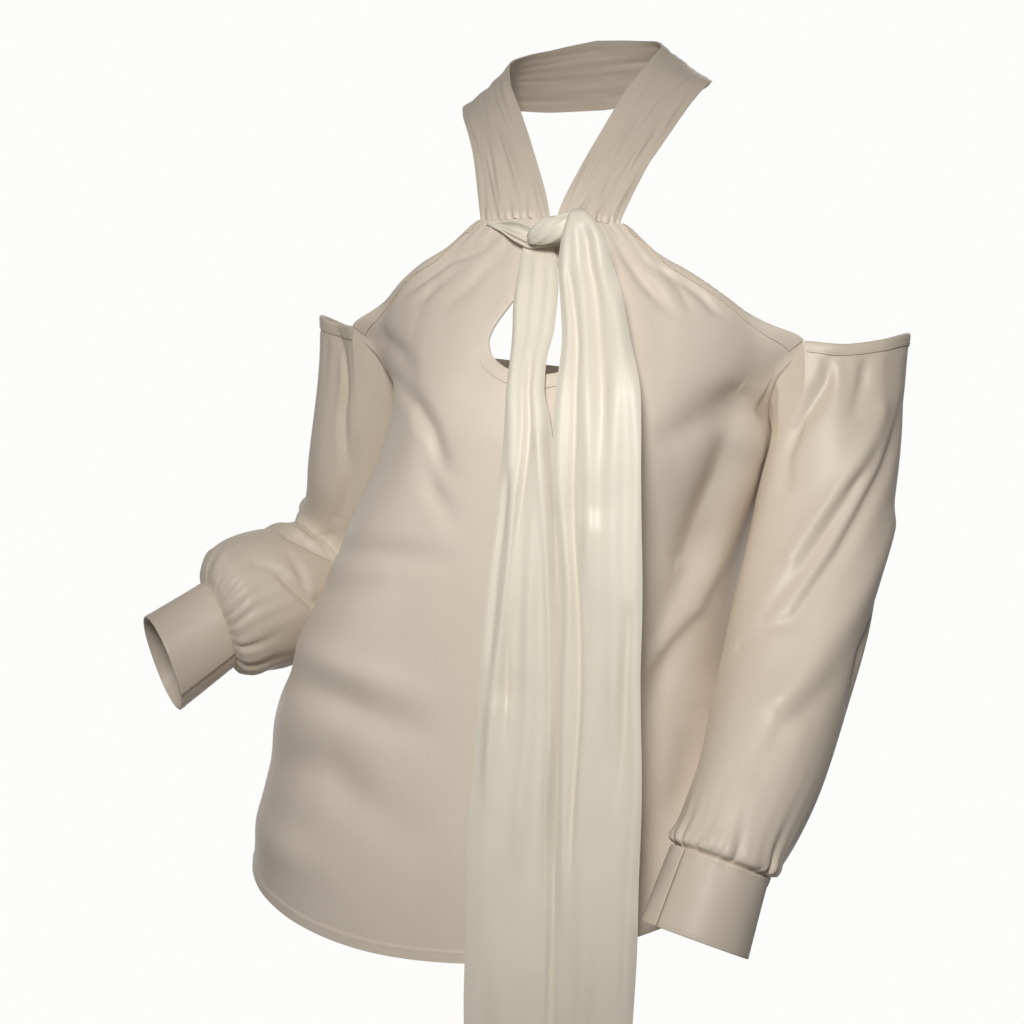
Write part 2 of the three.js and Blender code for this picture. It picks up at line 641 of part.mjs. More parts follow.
function keyholeCutter() {
  const outline = keyholeOutline(56);
  const above = frontEdgeRows[0].down - 20;
  const corners = [
    new THREE.Vector2(midFrontX + slitHalf, above),
    ...outline,
    new THREE.Vector2(midFrontX - slitHalf, above),
  ];
  const flat = corners.map((p) => new THREE.Vector2(p.x, -p.y - tiltAt(p.y) * p.x));
  const depth = 120;
  const geometry = new THREE.ExtrudeGeometry(new THREE.Shape(flat), { depth, bevelEnabled: false });
  geometry.rotateX(Math.PI / 2);
  geometry.translate(0, bodyMidY - 60, 0);
  return geometry;
}

function toManifold(wasm, geometry) {
  const bare = geometry.clone();
  for (const name of Object.keys(bare.attributes)) {
    if (name !== 'position') bare.deleteAttribute(name);
  }
  const merged = mergeVertices(bare, 1e-4);
  const solid = new wasm.Mesh({
    numProp: 3,
    vertProperties: new Float32Array(merged.attributes.position.array),
    triVerts: new Uint32Array(merged.index.array),
  });
  return new wasm.Manifold(solid);
}

function fromManifold(solid) {
  const cut = solid.getMesh();
  const geometry = new THREE.BufferGeometry();
  geometry.setAttribute('position', new THREE.BufferAttribute(cut.vertProperties, 3));
  geometry.setIndex(new THREE.BufferAttribute(cut.triVerts, 1));
  geometry.computeVertexNormals();
  return geometry;
}

function backPanel() {
  const half = [...range(slopeSteps, 0, backCornerU),
    ...range(armholeSteps, backCornerU, 1).slice(1)];
  const columns = [...half.slice(1).reverse(), ...half.map((u) => -u)];
  const rows = [0, bindingShare, 0.09, 0.17, 0.26, 0.36, 0.47, 0.59, 0.72, 0.86, 1];
  const grid = rows.map((v) => columns.map((u) => backPoint(u, v)));
  for (const row of grid) {
    for (const edge of [row[0], row[row.length - 1]]) edge.y += sideSeamGap;
  }
  return mesh('back', wallGeometry(grid, clothWall), bodySatin);
}

// A strip that lies along an edge, from the panel's own points moved out. share is how far down
// the panel it reaches.
function edgeStrip(name, placeAt, columns, share, side, look) {
  const out = layerGap + clothWall;
  const grid = [0, share].map((v) => columns.map((u) => placeAt(u, v, out)));
  return mesh(name, wallGeometry(facing(grid, side), clothWall), look);
}

function frontBinding(side, name) {
  const columns = range(slopeSteps, neckSeamU, cornerU).map((u) => side * u);
  columns[slopeSteps] -= side * cornerInset;
  return edgeStrip(name, frontPoint, columns, bindingShare, side, bodySatin);
}

function backBinding() {
  const half = range(slopeSteps, 0, backCornerU);
  const columns = [...half.slice(1).reverse(), ...half.map((u) => -u)];
  return edgeStrip('back_binding', backPoint, columns, bindingShare, 1, bodySatin);
}

// The folded strip that binds the keyhole, laid on the front sheet
function keyholeBinding(sheet) {
  const steps = 50;
  const under = new THREE.Mesh(sheet, new THREE.MeshBasicMaterial({ side: THREE.DoubleSide }));
  const fromFront = point(0, 1, 0);
  const outlines = [0, 1].map((w) => keyholeOutline(steps, w * keyholeBindingWidth));
  const grid = outlines.map((outline) => outline.map((place) => {
    const z = -place.y - tiltAt(place.y) * place.x;
    const ray = new THREE.Raycaster(point(place.x, -400, z), fromFront);
    const touch = ray.intersectObject(under)[0].point;
    return point(place.x, touch.y - layerGap - clothWall, z);
  }));
  return mesh('keyhole_binding', wallGeometry(facing(grid, -1), clothWall), bodySatin);
}

// The halter neck band, one piece round the nape, pleated lengthwise and gathered at its ends
function neckBand() {
  const across = 13;
  const halfRows = range(12);
  const place = (at, w, side) => {
    const read = (column) => readColumn(neckRows, 'at', at, column);
    const edgeOut = point(read('outX'), read('outY'), read('outZ'));
    const edgeIn = point(read('inX'), read('inY'), read('inZ'));
    const arch = 3.5 * Math.sin(Math.PI * w) * (1 - at);
    const wave = Math.abs(Math.sin(Math.PI * neckPleats * (w + 0.04 * Math.sin(5 * at))));
    const middle = edgeOut.lerp(edgeIn, w);
    const neckAxis = point(0, -60, middle.z - 30);
    const away = middle.clone().sub(neckAxis).normalize();
    middle.addScaledVector(away, arch + neckPleatOut * read('pleat') * wave);
    const tilt = shoulderTilt * side * middle.x * ease((-middle.z - 30) / 60);
    const x = side * middle.x + midFrontX * w * (1 - ease(at / 0.6));
    return point(x, middle.y, middle.z - tilt);
  };
  const sweep = [
    ...halfRows.map((at) => ({ at, side: -1 })),
    ...halfRows.slice(0, -1).reverse().map((at) => ({ at, side: 1 })),
  ];
  const grid = sweep.map(({ at, side }) => range(across).map((w) => place(at, w, side)));
  return mesh('neck_band', wallGeometry(grid, clothWall), sleeveSatin);
}

// The edge of the armhole and of the cold shoulder, once round from the front corner: the
// outer half is the sleeve's own top edge and the inner half is sewn to the two panels.
function sleeveEdge(arm, turn) {
  const { side } = arm;
  const frontCorner = frontPoint(side * cornerU, 0);
  const backCorner = backPoint(side * backCornerU, 0);
  if (turn <= 0.5) {
    const t = turn * 2;
    const read = (column) => readColumn(arm.edge, 'turn', t, column);
    const between = frontCorner.lerp(backCorner, t);
    return between.add(point(read('x') + side * (seamGap + clothWall), read('y'), read('rise')));
  }
  const back = turn < 0.75;
  const steps = (back ? (turn - 0.5) / 0.25 : (1 - turn) / 0.25) * armholeSteps;
  const placeAt = (step) => (back
    ? backPoint(side * mix(backCornerU, 1, step / armholeSteps), 0)
    : frontPoint(side * mix(cornerU, 1, step / armholeSteps), 0));
  const before = Math.min(Math.floor(steps), armholeSteps - 1);
  const spot = placeAt(before).lerp(placeAt(before + 1), steps - before);
  return spot.add(point(side * (seamGap + clothWall), 0, 0));
}

// A ring of a sleeve: its centre, the way to its front and the way to its outside.
function sleeveRing({ rows, side, cuffFacing }, at) {
  const centre = (t) => point(...['x', 'y', 'z'].map((axis) => readColumn(rows, 'at', t, axis)));
  const toCuff = point(cuffFacing.x, cuffFacing.y, cuffFacing.z).normalize();
  const ahead = centre(Math.min(at + bendShare, 1)).sub(centre(Math.max(at - bendShare, 0)));
  ahead.normalize().lerp(toCuff, ease((at - 0.84) / 0.16)).normalize();
  const outside = point(side, 0, 0).addScaledVector(ahead, -side * ahead.x).normalize();
  const front = ahead.clone().cross(outside).multiplyScalar(side);
  const radius = readColumn(rows, 'at', at, 'radius');
  return { centre: centre(at), ahead, front, outside, radius };
}

// How much wider than round a cuff and the sleeve just above it are, at a turn round them
function ovalAt(arm, angle, at) {
  const along = Math.cos(2 * (angle - THREE.MathUtils.degToRad(arm.ovalDeg)));
  return 1 + arm.ovalShare * along * ease((at - 0.75) / 0.25);
}

const topTurns = [
  { turn: 0, deg: -17 },
  { turn: 0.25, deg: 90 },
  { turn: 0.5, deg: 207 },
  { turn: 0.75, deg: 270 },
  { turn: 1, deg: 343 },
];

function sleevePoint(arm, turn, at, out = 0) {
  const { side } = arm;
  const ring = sleeveRing(arm, at);
  const fromCuff = (1 - at) * sleeveLength;
  const fromTop = at * sleeveLength;
  const even = 360 * turn - 17;
  const deg = mix(readColumn(topTurns, 'turn', turn, 'deg'), even, ease(at / 0.35));
  const angle = THREE.MathUtils.degToRad(deg);
  const away = ring.front.clone().multiplyScalar(Math.cos(angle))
    .addScaledVector(ring.outside, Math.sin(angle));
  const wave = Math.cos(2 * Math.PI * cuffGathers * turn);
  const uneven = 0.8 + 0.3 * Math.sin(31 * turn);
  let lift = cuffGatherOut * wave * uneven * Math.exp(-fromCuff / cuffGatherFade)
    * ease(fromCuff / 4 + 0.45);
  if (turn < 0.5) {
    const topWave = 0.5 - 0.5 * Math.cos(4 * Math.PI * shoulderGathers * turn);
    lift += shoulderGatherOut * topWave * Math.exp(-fromTop / shoulderGatherFade)
      * ease((at - armBandShare) * sleeveLength / 6) * ease(turn / 0.06) * ease((0.5 - turn) / 0.06);
  }
  for (const fold of arm.folds) {
    const girth = 2 * Math.PI * ring.radius;
    const runAt = (fold.at1 - fold.at0) * sleeveLength;
    const runTurn = (fold.turn1 - fold.turn0) * girth;
    for (const lap of [-1, 0, 1]) {
      const offAt = (at - fold.at0) * sleeveLength;
      const offTurn = (turn + lap - fold.turn0) * girth;
      const t = THREE.MathUtils.clamp(
        (offAt * runAt + offTurn * runTurn) / (runAt * runAt + runTurn * runTurn), 0, 1);
      const near = Math.hypot(offAt - runAt * t, offTurn - runTurn * t);
      lift += fold.out * Math.exp(-((near / fold.half) ** 2)) * ease(fromTop / 30)
        * ease(fromCuff / 30);
    }
  }
  const radius = ring.radius * ovalAt(arm, angle, at);
  const spot = ring.centre.clone().addScaledVector(away, radius + lift + out);
  const first = sleeveRing(arm, 0);
  const firstDeg = THREE.MathUtils.degToRad(readColumn(topTurns, 'turn', turn, 'deg'));
  const firstSpot = first.centre.clone()
    .addScaledVector(first.front, Math.cos(firstDeg) * first.radius)
    .addScaledVector(first.outside, Math.sin(firstDeg) * first.radius);
  const fromEdge = 1 - ease(at / 0.24);
  spot.addScaledVector(sleeveEdge(arm, turn).sub(firstSpot), fromEdge);
  const clear = mix(seamGap + clothWall, bodyClearance, ease(at / 0.1));
  const bodyX = bodySideX(side, spot.y, -spot.z - tiltAt(-spot.z) * spot.x);
  if (bodyX !== null && side * spot.x < side * bodyX + clear) spot.x = bodyX + side * clear;
  return spot;
}

function sleeve(name, arm) {
  const columns = 2 * cuffGathers;
  const levels = [0, armBandShare, 0.07, 0.15, 0.26, 0.38, 0.5, 0.62, 0.74, 0.84, 0.92, 0.965, 1];
  const grid = levels.map((at) => range(columns).slice(0, -1)
    .map((turn) => sleevePoint(arm, turn, at)));
  return mesh(name, wallGeometry(facing(grid, arm.side), clothWall, true), sleeveSatin);
}

function armBand(name, arm) {
  const columns = range(cuffGathers, 0, 0.5).slice(1, -1);
  const placeAt = (turn, at, out) => sleevePoint(arm, turn, at, out);
  return edgeStrip(name, placeAt, columns, armBandShare, arm.side, sleeveSatin);
}

// A lapped cuff: its ends pass each other, one layer outside the other.
function cuff(name, arm) {
  const last = sleeveRing(arm, 1);
  const along = point(arm.cuffEnd.x, arm.cuffEnd.y, arm.cuffEnd.z).sub(last.centre).normalize();
  const turnAll = 360 + cuffLapDeg;
  const lapStep = clothWall + layerGap;
  const grid = [0, 1].map((w) => range(40).map((t) => {
    const angle = THREE.MathUtils.degToRad(arm.lapDeg + arm.lapWay * turnAll * t);
    const lap = lapStep * ease((t * turnAll - (360 - 2 * cuffLapDeg)) / (2 * cuffLapDeg));
    const radius = mix(cuffTopRadius, cuffEndRadius, w) * ovalAt(arm, angle, 1) + lap;
    return last.centre.clone()
      .addScaledVector(last.ahead, seamGap)
      .addScaledVector(along, w * cuffDepth)
      .addScaledVector(last.front, Math.cos(angle) * radius)
      .addScaledVector(last.outside, Math.sin(angle) * radius);
  }));
  return mesh(name, wallGeometry(facing(grid, arm.side * arm.lapWay), clothWall), sleeveSatin);
}

// A tail of the sash, with soft folds along its length
function sashTail(name, rows, pleats, shift) {
  const across = 10;
  const first = rows[0].z;
  const last = rows[rows.length - 1].z;
  const free = -300;
  const levels = [...range(8, 0, 1).map((t) => mix(first, free, t ** 1.6)),
    ...range(8, free, last).slice(1)];
  const grid = levels.map((z) => range(across).map((w) => {
    const read = (column) => readColumn(rows, 'z', z, column);
    const wander = 0.35 * Math.sin(z / 95 + shift);
    const wave = 0.5 + 0.5 * Math.sin(2 * Math.PI * pleats * w + wander * 3 + shift);
    const turnIn = 0.5 * read('fold') * Math.abs(2 * w - 1) ** 3;
    return point(mix(read('x0'), read('x1'), w), read('y') - read('fold') * wave + turnIn, z);
  }));
  return mesh(name, wallGeometry(grid, clothWall), sashSatin);
}

function knotBand() {
  const xs = range(12, knotBandRows[0].x, knotBandRows[knotBandRows.length - 1].x);
  const grid = xs.map((x) => range(5).map((w) => {
    const read = (column) => readColumn(knotBandRows, 'x', x, column);
    const bow = Math.sin(Math.PI * (0.12 + 0.8 * w));
    return point(x, read('y') - read('belly') * bow, mix(read('topZ'), read('lowZ'), w));
  }));
  return mesh('knot_band', wallGeometry(grid, clothWall), sashSatin);
}

function knotRoll() {
  const sides = 14;
  const rings = range(11, knotRollRows[0].x, knotRollRows[knotRollRows.length - 1].x).map((x) => {
    const read = (column) => readColumn(knotRollRows, 'x', x, column);
    return range(sides).slice(0, -1).map((t) => {
      const angle = 2 * Math.PI * t;
      const crease = 1 - 0.12 * (0.5 + 0.5 * Math.cos(5 * angle + x / 9));
      const y = read('y') + Math.cos(angle) * read('deep') * crease;
      return point(x, y, read('z') + Math.sin(angle) * read('high') * crease);
    });
  });
  const points = rings.flat();
  const faces = [];
  for (let i = 0; i < rings.length - 1; i += 1) {
    for (let j = 0; j < sides; j += 1) {
      const a = i * sides + j;
      const b = i * sides + ((j + 1) % sides);
      faces.push(a, b, b + sides, a, b + sides, a + sides);
    }
  }
  const lastRing = (rings.length - 1) * sides;
  for (let j = 1; j < sides - 1; j += 1) {
    faces.push(0, j + 1, j, lastRing, lastRing + j, lastRing + j + 1);
  }
  return mesh('knot_roll', closedGeometry(points, faces), sashSatin);
}

const wasm = await Module();
wasm.setup();

const group = new THREE.Group();
const sheet = frontSheet();
group.add(
  frontPanel(wasm, sheet),
  backPanel(),
  neckBand(),
  frontBinding(1, 'front_binding_left'),
  frontBinding(-1, 'front_binding_right'),
  backBinding(),
  keyholeBinding(sheet),
  sleeve('sleeve_left', leftArm),
  sleeve('sleeve_right', rightArm),
  armBand('arm_band_left', leftArm),
  armBand('arm_band_right', rightArm),
  cuff('cuff_left', leftArm),
  cuff('cuff_right', rightArm),
  sashTail('sash_tail_right', rightTailRows, 2, 0.6),
  sashTail('sash_tail_left', leftTailRows, 2, 2.2),
  knotBand(),
  knotRoll(),
);

export default group;
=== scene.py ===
# A halter neck blouse of ivory satin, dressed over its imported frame.
# Shapes are worked out in millimetres, then written to the meshes in metres.
import math
import bpy
import numpy as np
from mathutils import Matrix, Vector


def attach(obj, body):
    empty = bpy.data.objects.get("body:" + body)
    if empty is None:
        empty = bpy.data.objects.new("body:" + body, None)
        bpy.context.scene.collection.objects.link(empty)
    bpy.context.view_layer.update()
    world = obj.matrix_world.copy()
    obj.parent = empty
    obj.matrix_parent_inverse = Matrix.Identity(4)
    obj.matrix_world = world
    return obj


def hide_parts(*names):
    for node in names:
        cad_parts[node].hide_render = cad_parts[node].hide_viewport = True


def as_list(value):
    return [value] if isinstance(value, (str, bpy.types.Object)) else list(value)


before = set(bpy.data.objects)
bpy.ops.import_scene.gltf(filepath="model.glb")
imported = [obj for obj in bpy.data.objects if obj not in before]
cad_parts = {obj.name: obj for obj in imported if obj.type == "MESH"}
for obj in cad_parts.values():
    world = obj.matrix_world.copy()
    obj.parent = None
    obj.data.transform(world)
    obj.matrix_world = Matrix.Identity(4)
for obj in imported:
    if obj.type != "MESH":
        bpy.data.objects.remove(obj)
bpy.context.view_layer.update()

mm = 0.001

# The camera stands to the front, about level with the hem's upper third, and looks slightly up
view = {"place": (0.3511, -1.3075, -0.4311), "turnDeg": 18.0, "riseDeg": 3.57, "lens": 60.9}

bpy.ops.object.camera_add(location=view["place"])
camera = bpy.context.object
rise, turn = math.radians(view["riseDeg"]), math.radians(view["turnDeg"])
ahead = Vector((-math.sin(turn) * math.cos(rise), math.cos(turn) * math.cos(rise), math.sin(rise)))
camera.rotation_euler = ahead.to_track_quat("-Z", "Y").to_euler()
camera.data.lens = view["lens"]
camera.data.sensor_width = 36
bpy.context.scene.camera = camera
print("camera placed")

cloth = {"wall": 1.2, "seamGap": 0.3, "layer": 0.7}

# Level sections of the body at a distance down from the nape
body = {
    "midY": -58.0, "frontFullness": 2.2, "backFullness": 2.1,
    "tilt": 0.095, "tiltFadesFrom": 300.0, "tiltEndsAt": 550.0, "sideSeamDeg": 96.4,
    "frontHemDown": 660.0, "backHemDown": 676.0, "sideHemRise": 60.0, "hemRiseDeg": 100.0,
    "backHemPower": 2.4,
    "bustOut": 9.0, "bustX": 78.0, "bustDown": 287.0, "bustWide": 46.0, "bustHigh": 52.0,
    "cornerReach": 24.0, "cornerReachDown": 14.0, "frontCornerWide": 0.075, "backCornerWide": 0.16,
    "down": [140, 148, 169, 180, 200, 222, 237, 252, 273, 290, 314, 385, 456, 513, 560, 612, 680],
    "right": [-101, -111, -134, -143, -150, -152, -150, -145, -137, -138, -145, -179, -215, -236.5,
              -244, -252.5, -260],
    "left": [102, 112, 135, 144, 152, 155, 153, 150, 143, 144, 138, 118, 116, 123, 131, 139, 146],
    "front": [-147, -148.5, -154, -158, -165, -175, -182, -189, -199, -203, -205, -205, -205,
              -205, -205, -204, -202],
    "back": [40, 42, 48, 52, 57, 62, 64, 66, 68, 69, 70, 72, 76, 82, 87, 91, 94],
}

# Top edges of half a panel: u across it, deg the turn round the body, hemDeg where the thread ends
frontEdge = {
    "u": [0, 0.25, 0.36, 0.44, 0.55, 0.63, 0.7, 0.76, 0.82, 0.92, 1],
    "deg": [0, 26.1, 33.5, 42.3, 57.2, 66.4, 73, 75.9, 79.9, 89, 96.4],
    "down": [146.5, 148.5, 169, 180.5, 200, 212, 222, 237, 252, 273, 290],
    "hemDeg": [0, 44, 53, 59, 68, 73, 78, 82, 85, 91, 96.4],
    "neckSeam": 0.25, "corner": 0.7,
}
backEdge = {
    "u": [0, 0.25, 0.45, 0.6, 0.72, 0.86, 1],
    "deg": [180, 158, 136, 118, 110, 103, 96.4],
    "down": [229, 227.5, 225, 222, 243, 268, 290],
    "hemDeg": [180, 158, 137, 121, 112, 104, 96.4],
    "corner": 0.6,
}

# Folds of the front, each by points in x and distance down, its height and its half width
frontFolds = [
    {"line": [(-46, 167), (-58, 171), (-79, 177), (-96, 183)], "out": -1.8, "half": 3},
    {"line": [(-36, 160), (-47, 170), (-65, 176), (-81, 183), (-94, 193), (-114, 204)],
     "out": -3.4, "half": (3, 4.5)},
    {"line": [(-63, 185), (-79, 196), (-87, 202), (-97, 210)], "out": -2.4, "half": 3.5},
    {"line": [(-32, 170), (-42, 186), (-55, 201), (-68, 212)], "out": -2.4, "half": 5},
    {"line": [(-119, 198), (-129, 205), (-137, 213)], "out": -1.4, "half": 3.5},
    {"line": [(-146, 227), (-138, 235), (-111, 248), (-95, 262)], "out": -4.4, "half": 8},
    {"line": [(-113, 271), (-87, 288), (-70, 308), (-62, 327), (-57, 335)],
     "out": -5.5, "half": (9, 5)},
    {"line": [(-40, 250), (-26, 258)], "out": -1.6, "half": 5},
    {"line": [(51, 164), (60, 176), (71, 190), (82, 201), (91, 211)], "out": -3.4, "half": 3.6},
    {"line": [(71, 175), (89, 185), (99, 189), (109, 196), (118, 206), (123, 208)],
     "out": -2.8, "half": 3.2},
    {"line": [(89, 188), (96, 195), (102, 207)], "out": -1.3, "half": 3},
    {"line": [(46, 184), (53, 199), (59, 210), (64, 229)], "out": -2.7, "half": 5},
    {"line": [(152, 240), (140, 258), (126, 274), (112, 288), (98, 300)], "out": -7.5, "half": 11},
    {"line": [(136, 264), (132, 283), (127, 303), (121, 323), (113, 341), (107, 353), (97, 380)],
     "out": -6, "half": (5, 9)},
    {"line": [(146, 259), (139, 302), (126, 341), (113, 381), (101, 418), (73, 463)],
     "out": 3.5, "half": (4, 6)},
    {"line": [(140, 275), (130, 310), (117, 345), (104, 375), (93, 405), (80, 440)],
     "out": -5, "half": (6, 9)},
    {"line": [(97, 429), (84, 462), (73, 492)], "out": -3.2, "half": 7},
    {"line": [(105, 498), (101, 540), (90, 572)], "out": -6, "half": 13},
    {"line": [(-72, 321), (-68, 345), (-52, 367)], "out": -3.4, "half": 8},
    {"line": [(-170, 390), (-111, 392), (-59, 394)], "out": -3.2, "half": 9},
    {"line": [(-196, 420), (-150, 416), (-98, 409)], "out": -3.2, "half": 9},
    {"line": [(-205, 452), (-138, 466), (-74, 482)], "out": 3.2, "half": 11},
    {"line": [(-210, 474), (-138, 490), (-74, 507)], "out": -4.5, "half": 12},
    {"line": [(-240, 532), (-149, 535), (-89, 573)], "out": -5, "half": 18},
    {"line": [(-246, 574), (-206, 590), (-150, 604)], "out": 4, "half": 16},
]
backFolds = [
    {"line": [(128, 262), (112, 350), (92, 470)], "out": -5, "half": 15},
    {"line": [(58, 300), (44, 410), (30, 560)], "out": 4, "half": 18},
    {"line": [(-24, 280), (-40, 390), (-52, 520)], "out": -4, "half": 17},
    {"line": [(-118, 258), (-134, 350), (-150, 480)], "out": -5, "half": 16},
    {"line": [(-170, 400), (-196, 480), (-214, 600)], "out": 5, "half": 18},
    {"line": [(100, 520), (84, 580), (74, 650)], "out": 4, "half": 18},
]


def ease(amount):
    t = np.clip(amount, 0, 1)
    return t * t * (3 - 2 * t)


def mix(a, b, amount):
    return a + (b - a) * amount


# A column of a table, read smoothly between its entries
def readTable(table, key, column, at):
    keys = np.asarray(table[key], float)
    vals = np.asarray(table[column], float)
    at = np.asarray(at, float)
    if keys[1] < keys[0]:
        keys, at = -keys, -at
    at = np.clip(at, keys[0], keys[-1])
    step = np.diff(vals) / np.diff(keys)
    slope = np.zeros(len(keys))
    slope[0], slope[-1] = step[0], step[-1]
    before, after = step[:-1], step[1:]
    same = before * after > 0
    slope[1:-1] = np.where(same, 2 * before * after / np.where(same, before + after, 1), 0)
    i = np.clip(np.searchsorted(keys, at, side="right") - 1, 0, len(keys) - 2)
    gap = keys[i + 1] - keys[i]
    t = (at - keys[i]) / gap
    t2, t3 = t * t, t * t * t
    return ((2 * t3 - 3 * t2 + 1) * vals[i] + (t3 - 2 * t2 + t) * gap * slope[i]
            + (3 * t2 - 2 * t3) * vals[i + 1] + (t3 - t2) * gap * slope[i + 1])


# Height of a set of folds at a place. A fold may be steeper on one side: "half" is (left, right)
def foldLift(folds, x, down):
    lift = np.zeros(np.shape(x))
    for fold in folds:
        line = np.asarray(fold["line"], float)
        best = np.full(np.shape(x), 1e9)
        place = np.zeros(np.shape(x))
        side = np.zeros(np.shape(x))
        count = len(line) - 1
        for i in range(count):
            (ax, ad), (bx, bd) = line[i], line[i + 1]
            rx, rd = bx - ax, bd - ad
            t = np.clip(((x - ax) * rx + (down - ad) * rd) / (rx * rx + rd * rd), 0, 1)
            dx, dd = x - ax - rx * t, down - ad - rd * t
            away = np.hypot(dx, dd)
            near = away < best
            best = np.where(near, away, best)
            place = np.where(near, (i + t) / count, place)
            side = np.where(near, dx * rd - dd * rx, side)
        half = fold["half"]
        if isinstance(half, tuple):
            half = np.where(side > 0, half[0], half[1])
        fade = 0.35 + 0.65 * np.sin(np.pi * np.clip(place, 0.02, 0.98))
        lift += fold["out"] * fade * np.exp(-(best / half) ** 2)
    return lift


def tiltAt(down):
    fade = (down - body["tiltFadesFrom"]) / (body["tiltEndsAt"] - body["tiltFadesFrom"])
    return body["tilt"] * (1 - ease(fade))


# The body's surface with no folds: deg is the turn from the front, to +X
def bodySkin(deg, down):
    right, left = (readTable(body, "down", k, down) for k in ("right", "left"))
    front, back = (readTable(body, "down", k, down) for k in ("front", "back"))
    turn = np.radians(deg)
    isFront = np.cos(turn) >= 0
    power = 2 / np.where(isFront, body["frontFullness"], body["backFullness"])
    across = np.sign(np.sin(turn)) * np.abs(np.sin(turn)) ** power
    depth = np.abs(np.cos(turn)) ** power
    x = (left + right) / 2 + (left - right) / 2 * across
    y = body["midY"] + (np.where(isFront, front, back) - body["midY"]) * depth
    for cup in (-body["bustX"], body["bustX"]):
        offX = (x - cup) / body["bustWide"]
        offDown = (down - body["bustDown"]) / body["bustHigh"]
        y = y - np.where(isFront, body["bustOut"] * np.exp(-offX ** 2 - offDown ** 2), 0)
    return np.stack([x, y, -down - tiltAt(down) * x], axis=-1)


def unit(v):
    return v / np.maximum(np.linalg.norm(v, axis=-1, keepdims=True), 1e-9)


def bodyPoint(deg, down, out=0.0):
    across = bodySkin(deg + 1, down) - bodySkin(deg - 1, down)
    downward = bodySkin(deg, down + 2) - bodySkin(deg, down - 2)
    normal = unit(np.cross(downward, across))
    return bodySkin(deg, down) + normal * np.asarray(out)[..., None]


def frontPlace(u, v):
    edge = np.abs(u)
    side = np.where(u < 0, -1, 1)
    fan = 1 - (1 - v) ** 5
    hemDeg = readTable(frontEdge, "u", "hemDeg", edge)
    deg = side * mix(readTable(frontEdge, "u", "deg", edge), hemDeg, fan)
    top = readTable(frontEdge, "u", "down", edge)
    hem = body["frontHemDown"] - body["sideHemRise"] * ease(hemDeg / body["hemRiseDeg"])
    return deg, mix(top, hem, v), top


def reachOut(spot, u, corner, wide, fromSeam):
    near = ((np.abs(u) - corner) / wide) ** 2 + fromSeam / body["cornerReachDown"]
    spot[..., 0] += np.sign(u) * body["cornerReach"] * np.exp(-near)
    return spot


# Creases that fan out from the neck seam: place along it, depth, length and half width as a share
# of it. The same draw serves both halves, shifted
neckGathers = {"count": 12, "from": 0.1, "span": 0.88, "deep": 2.3, "out": 1.6}
neckDraw = np.random.RandomState(7)
neckCount = neckGathers["count"]
neckSteps = np.arange(neckCount) + neckDraw.uniform(-0.3, 0.3, neckCount)
neckPlaces = neckGathers["from"] + neckGathers["span"] * neckSteps / neckCount
neckDeeps = neckGathers["deep"] * neckDraw.uniform(0.45, 1.1, neckCount)
neckLongs = neckDraw.uniform(16, 62, neckCount)
neckWides = neckDraw.uniform(0.028, 0.046, neckCount)


def neckGather(u, fromSeam):
    edge = np.abs(u) / frontEdge["neckSeam"]
    shift = np.where(u < 0, 0.035, 0.0)
    lift = neckGathers["out"] * np.exp(-fromSeam / 40) * ease((1.1 - edge) / 0.2)
    for n in range(neckCount):
        near = edge - neckPlaces[n] - shift - 0.0008 * fromSeam * np.sin(5 * n + 3 * shift * 28)
        wide = neckWides[n] * (1 + fromSeam / 55)
        lift = lift - neckDeeps[n] * np.exp(-(near / wide) ** 2 - fromSeam / neckLongs[n])
    return lift * ease((edge - 0.06) / 0.14) * ease((1.25 - edge) / 0.2) * ease(fromSeam / 3 + 0.3)


def frontPoint(u, v, out=0.0):
    u, v = np.broadcast_arrays(np.asarray(u, float), np.asarray(v, float))
    deg, down, top = frontPlace(u, v)
    x = bodySkin(deg, down)[..., 0]
    lift = foldLift(frontFolds, x, down) * ease((down - top) / 14) + neckGather(u, down - top)
    spot = bodyPoint(deg, down, out + lift)
    return reachOut(spot, u, frontEdge["corner"], body["frontCornerWide"], down - top)


def backPlace(u, v):
    edge = np.abs(u)
    hemDeg = readTable(backEdge, "u", "hemDeg", edge)
    turned = mix(readTable(backEdge, "u", "deg", edge), hemDeg, v)
    deg = np.where(u < 0, 360 - turned, turned)
    top = readTable(backEdge, "u", "down", edge)
    seam = body["sideSeamDeg"]
    sideHem = body["frontHemDown"] - body["sideHemRise"] * ease(seam / body["hemRiseDeg"])
    middle = np.clip((hemDeg - seam) / (180 - seam), 0, 1)
    hem = mix(sideHem, body["backHemDown"], 1 - (1 - middle) ** body["backHemPower"])
    return deg, mix(top, hem, v), top


def backPoint(u, v, out=0.0):
    u, v = np.broadcast_arrays(np.asarray(u, float), np.asarray(v, float))
    deg, down, top = backPlace(u, v)
    x = bodySkin(deg, down)[..., 0]
    fade = ease((down - top) / 30) * ease((1 - np.abs(u)) / 0.2)
    spot = bodyPoint(deg, down, out + foldLift(backFolds, x, down) * fade)
    return reachOut(spot, u, backEdge["corner"], body["backCornerWide"], down - top)


def bodySideX(side, y, down):
    right, left = (readTable(body, "down", k, down) for k in ("right", "left"))
    front, back = (readTable(body, "down", k, down) for k in ("front", "back"))
    isFront = y < body["midY"]
    power = np.where(isFront, body["frontFullness"], body["backFullness"])
    depth = (y - body["midY"]) / (np.where(isFront, front, back) - body["midY"])
    inside = np.clip(depth, 0, 0.999999)
    reach = (1 - inside ** power) ** (1 / power)
    x = (left + right) / 2 + side * (left - right) / 2 * reach
    return np.where(depth >= 1, -side * 1e6, x)


